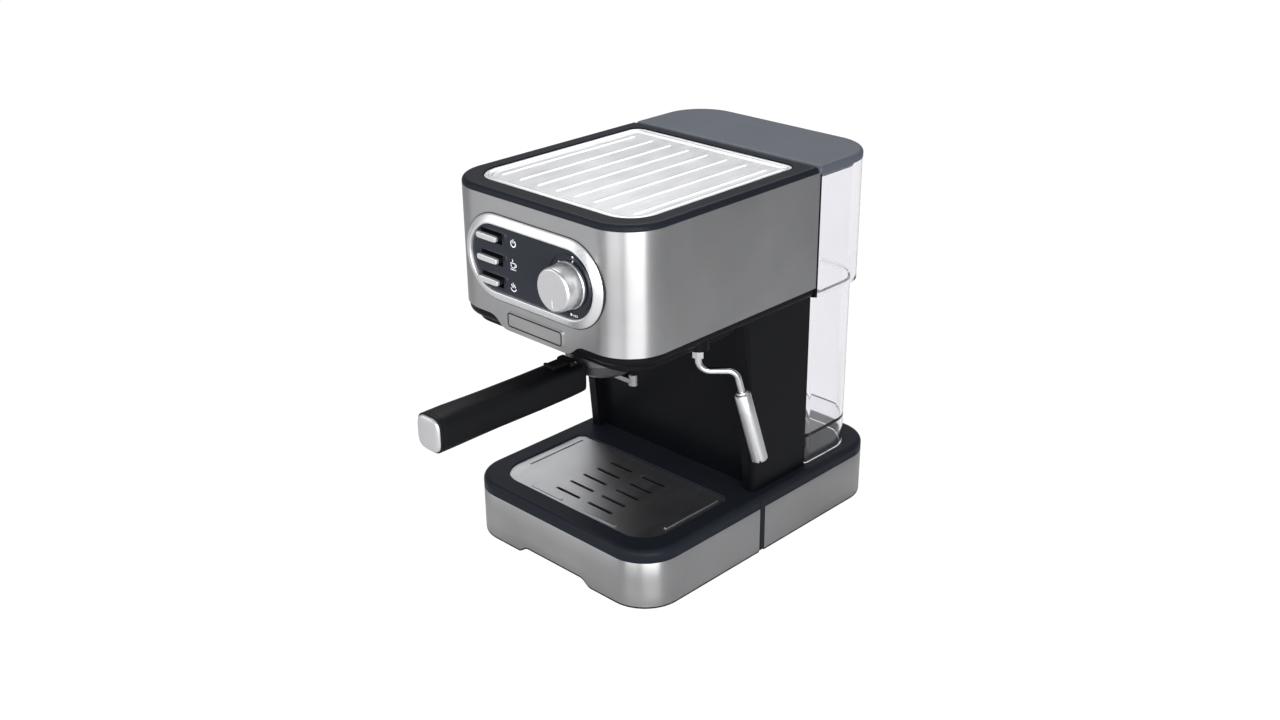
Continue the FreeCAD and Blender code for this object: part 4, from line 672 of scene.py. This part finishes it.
# ---- steam wand -------------------------------------------------------------------------------------------
# A bent stainless tube turns in a hexagonal swivel nut under the chin. The frothing sleeve is a bright turned
# tube pushed over its lower run, with an air hole near the top and notches in its mouth.
WAND_TOP = np.array((84.0, -67.0, 200.0))
WAND_KNEE = np.array((84.0, -67.0, 175.0))
SLEEVE_TOP = np.array((107.0, -44.0, 157.6))
SLEEVE_END = np.array((117.5, -33.5, 100.5))
WAND_ELBOW = SLEEVE_TOP - (SLEEVE_END - SLEEVE_TOP) * 0.3
WAND_R = 2.6
WAND_BEND = 9.0
WAND_REACH = 53.0
SLEEVE_RUN = np.linalg.norm(SLEEVE_END - SLEEVE_TOP)
down = (SLEEVE_END - SLEEVE_TOP) / SLEEVE_RUN
sideways = np.array((1.0, -1.0, 0.0)) / math.sqrt(2)
wear(CHROME, "wand_socket")


def bent_tube(points, bend, radius, columns=28):
    """Round tube along straight runs joined by arcs, all in the upright plane square to sideways.

    Each arc leaves its runs at bend over the tangent of half the angle between them, and its points are the
    centre plus bend times a turning unit vector. The circle is spanned by sideways and its cross product
    with the direction of travel."""
    line, travel = [points[0]], [points[1] - points[0]]
    for before, corner, after in zip(points[:-2], points[1:-1], points[2:]):
        back_way = (before - corner) / np.linalg.norm(before - corner)
        ahead = (after - corner) / np.linalg.norm(after - corner)
        half = math.acos(float(back_way @ ahead)) / 2
        inward = (back_way + ahead) / np.linalg.norm(back_way + ahead)
        centre = corner + inward * bend / math.sin(half)
        swing = np.linspace(-(math.pi / 2 - half), math.pi / 2 - half, 14)[:, None]
        along = (ahead - back_way) / np.linalg.norm(ahead - back_way)
        line += list(centre + bend * (np.sin(swing) * along - np.cos(swing) * inward))
        travel += list(np.cos(swing) * along + np.sin(swing) * inward)
    line, travel = np.array(line + [points[-1]]), np.array(travel + [points[-1] - points[-2]])
    travel /= np.linalg.norm(travel, axis=1)[:, None]
    upward = np.cross(travel, sideways)
    v = np.linspace(0, 2 * math.pi, columns, endpoint=False)[None, :, None]
    return line[:, None] + radius * (np.cos(v) * sideways + np.sin(v) * upward[:, None])


surface("wand_pipe", "steam_wand", CHROME,
        [bent_tube([WAND_TOP, WAND_KNEE, WAND_ELBOW, SLEEVE_TOP + down * WAND_REACH], WAND_BEND, WAND_R)],
        stands_for=("wand_tube",), ends=(0, -1))
# radius, distance down the axis, and 1 where the mouth's notches cut back
SLEEVE_SECTION = np.array([
    (2.75, 0.2, 0), (3.2, 0, 0), (4.1, 0, 0), (4.4, 0.3, 0), (4.4, 1.2, 0), (5.5, 1.8, 0), (6.0, 2.2, 0),
    (6.3, 2.9, 0), (6.3, 20, 0), (6.3, 40, 0), (6.3, SLEEVE_RUN - 2.2, 0), (6.25, SLEEVE_RUN - 0.4, 1),
    (6.0, SLEEVE_RUN, 1), (4.6, SLEEVE_RUN, 1), (4.5, SLEEVE_RUN - 2.2, 0), (4.5, SLEEVE_RUN - 5, 0),
    (2.75, SLEEVE_RUN - 6, 0)])


def sleeve_tube(turns=144):
    """Turned sleeve: radius and distance along the axis, with six shallow notches in the mouth.

    A notch is where the cosine of six times the angle is near one; there the mouth steps back 1.7 mm."""
    v = np.linspace(0, 2 * math.pi, turns, endpoint=False)[None, :]
    radius, run, mouth = [SLEEVE_SECTION[:, k:k + 1] for k in range(3)]
    run = run - 1.7 * mouth * ease((np.cos(6 * v) - 0.80) / 0.14)
    front = np.cross(down, sideways)
    circle = np.cos(v)[..., None] * sideways + np.sin(v)[..., None] * front
    return SLEEVE_TOP + run[..., None] * down + radius[..., None] * circle


SLEEVE_STEEL = finish("sleeve_steel", (0.80, 0.80, 0.81), 0.34, metal=1.0, grain=(300, 300, 300), depth=0.01,
                      shade=0.06, rough_spread=0.02, marks=0.03)
surface("sleeve_turned", "froth_sleeve", SLEEVE_STEEL, [sleeve_tube()],
        stands_for=("froth_sleeve",), along=True, crease=50)

# ---- drip tray --------------------------------------------------------------------------------------------
# A moulded slate tray slides in on a runway under the group. A brushed steel strip is clipped round its front
# and sides, cut away below for the fingers, and a pressed steel grid lies in its rim over the sump.
GRID_STEEL = finish("grid_steel", (0.56, 0.56, 0.575), 0.30, metal=1.0, grain=(1400, 30, 1400), depth=0.03,
                    shade=0.10, rough_spread=0.06, marks=0.12)
wear(SLATE, "tray_tub")
wear(GRID_STEEL, "drip_grid")
TRAY_FRONT = -143.0
TRAY_END = -12.0
NOTCH_RISE = 5.4
tray_path = bent_path([(-BASE_X, TRAY_END), (-BASE_X, TRAY_FRONT), (BASE_X, TRAY_FRONT), (BASE_X, TRAY_END)],
                      [0, BASE_R, BASE_R, 0], step=1.5)
# the lower edge rises as a smooth step of the distance from the middle, on the front face only
notch = NOTCH_RISE * ease((41.5 - np.abs(tray_path[:, 0])) / 11) * (tray_path[:, 1] < TRAY_FRONT + 0.01)
surface("tray_strip", "drip_tray", BRUSHED, [carried(tray_path, BAND_SECTION, notch)],
        stands_for=("tray_band",), ends=(0, -1))
# thin black strip under the steel strip, which draws the dark line along its foot
surface("tray_foot_dark_line", "drip_tray", CASE_BLACK, [carried(tray_path, FOOT_DARK_SECTION, notch)],
        ends=(0, -1))

# ---- water tank -------------------------------------------------------------------------------------------
# A clear moulded tank, wider above than below, lifts straight out. Its floor stands on a skirt and carries a
# spring valve, and a slate lid turns on two steel pins at the back.
CLEAR = finish("clear_tank", (0.93, 0.925, 0.95), 0.03, grain=(60, 60, 60), depth=0.01, shade=0.02,
               rough_spread=0.02)
clear_body = CLEAR.node_tree.nodes["Principled BSDF"]
clear_body.inputs["Transmission Weight"].default_value = 1.0
clear_body.inputs["IOR"].default_value = 1.38
LID_SLATE = finish("lid_slate", (0.098, 0.110, 0.138), 0.42, grain=(1800, 1800, 1800), depth=0.05, shade=0.06,
                   rough_spread=0.05, marks=0.08, gloss=0.4)
VALVE_BLACK = finish("valve_black", (0.018, 0.018, 0.02), 0.45, grain=(1200, 1200, 1200), depth=0.1)
wear(CLEAR, "tank_upper", "tank_lower")
wear(PLAIN_STEEL, "lid_pins")
wear(VALVE_BLACK, "valve_seat", "valve_poppet")
wear(LID_SLATE, "tank_lid")

# ---- boiler, pump and wiring ------------------------------------------------------------------------------
# Inside stand a cast boiler in two halves with its thermostats, a vibration pump hung on rubber mounts, the
# silicone hoses, brass steam pipes and the loom. They show only through the vents and when drawn apart.
PUMP_BLACK = finish("pump_black", (0.03, 0.03, 0.033), 0.5, grain=(700, 700, 700), depth=0.3)
SILICONE = finish("silicone_hose", (0.62, 0.62, 0.58), 0.5, grain=(300, 300, 300), depth=0.1)
LOOM = finish("loom_sleeve", (0.05, 0.05, 0.055), 0.6, grain=(900, 900, 2500), depth=0.4)
wear(CAST, "boiler_lower", "boiler_upper")
wear(PLAIN_STEEL, "boiler_screws", "pump_bracket")
wear(PUMP_BLACK, "pump", "thermostats", "switch_block")
wear(RUBBER, "pump_mounts")
wear(BRASS, "steam_pipes")
wear(SILICONE, "suction_hose", "pressure_hose")
wear(LOOM, "wiring_harness")
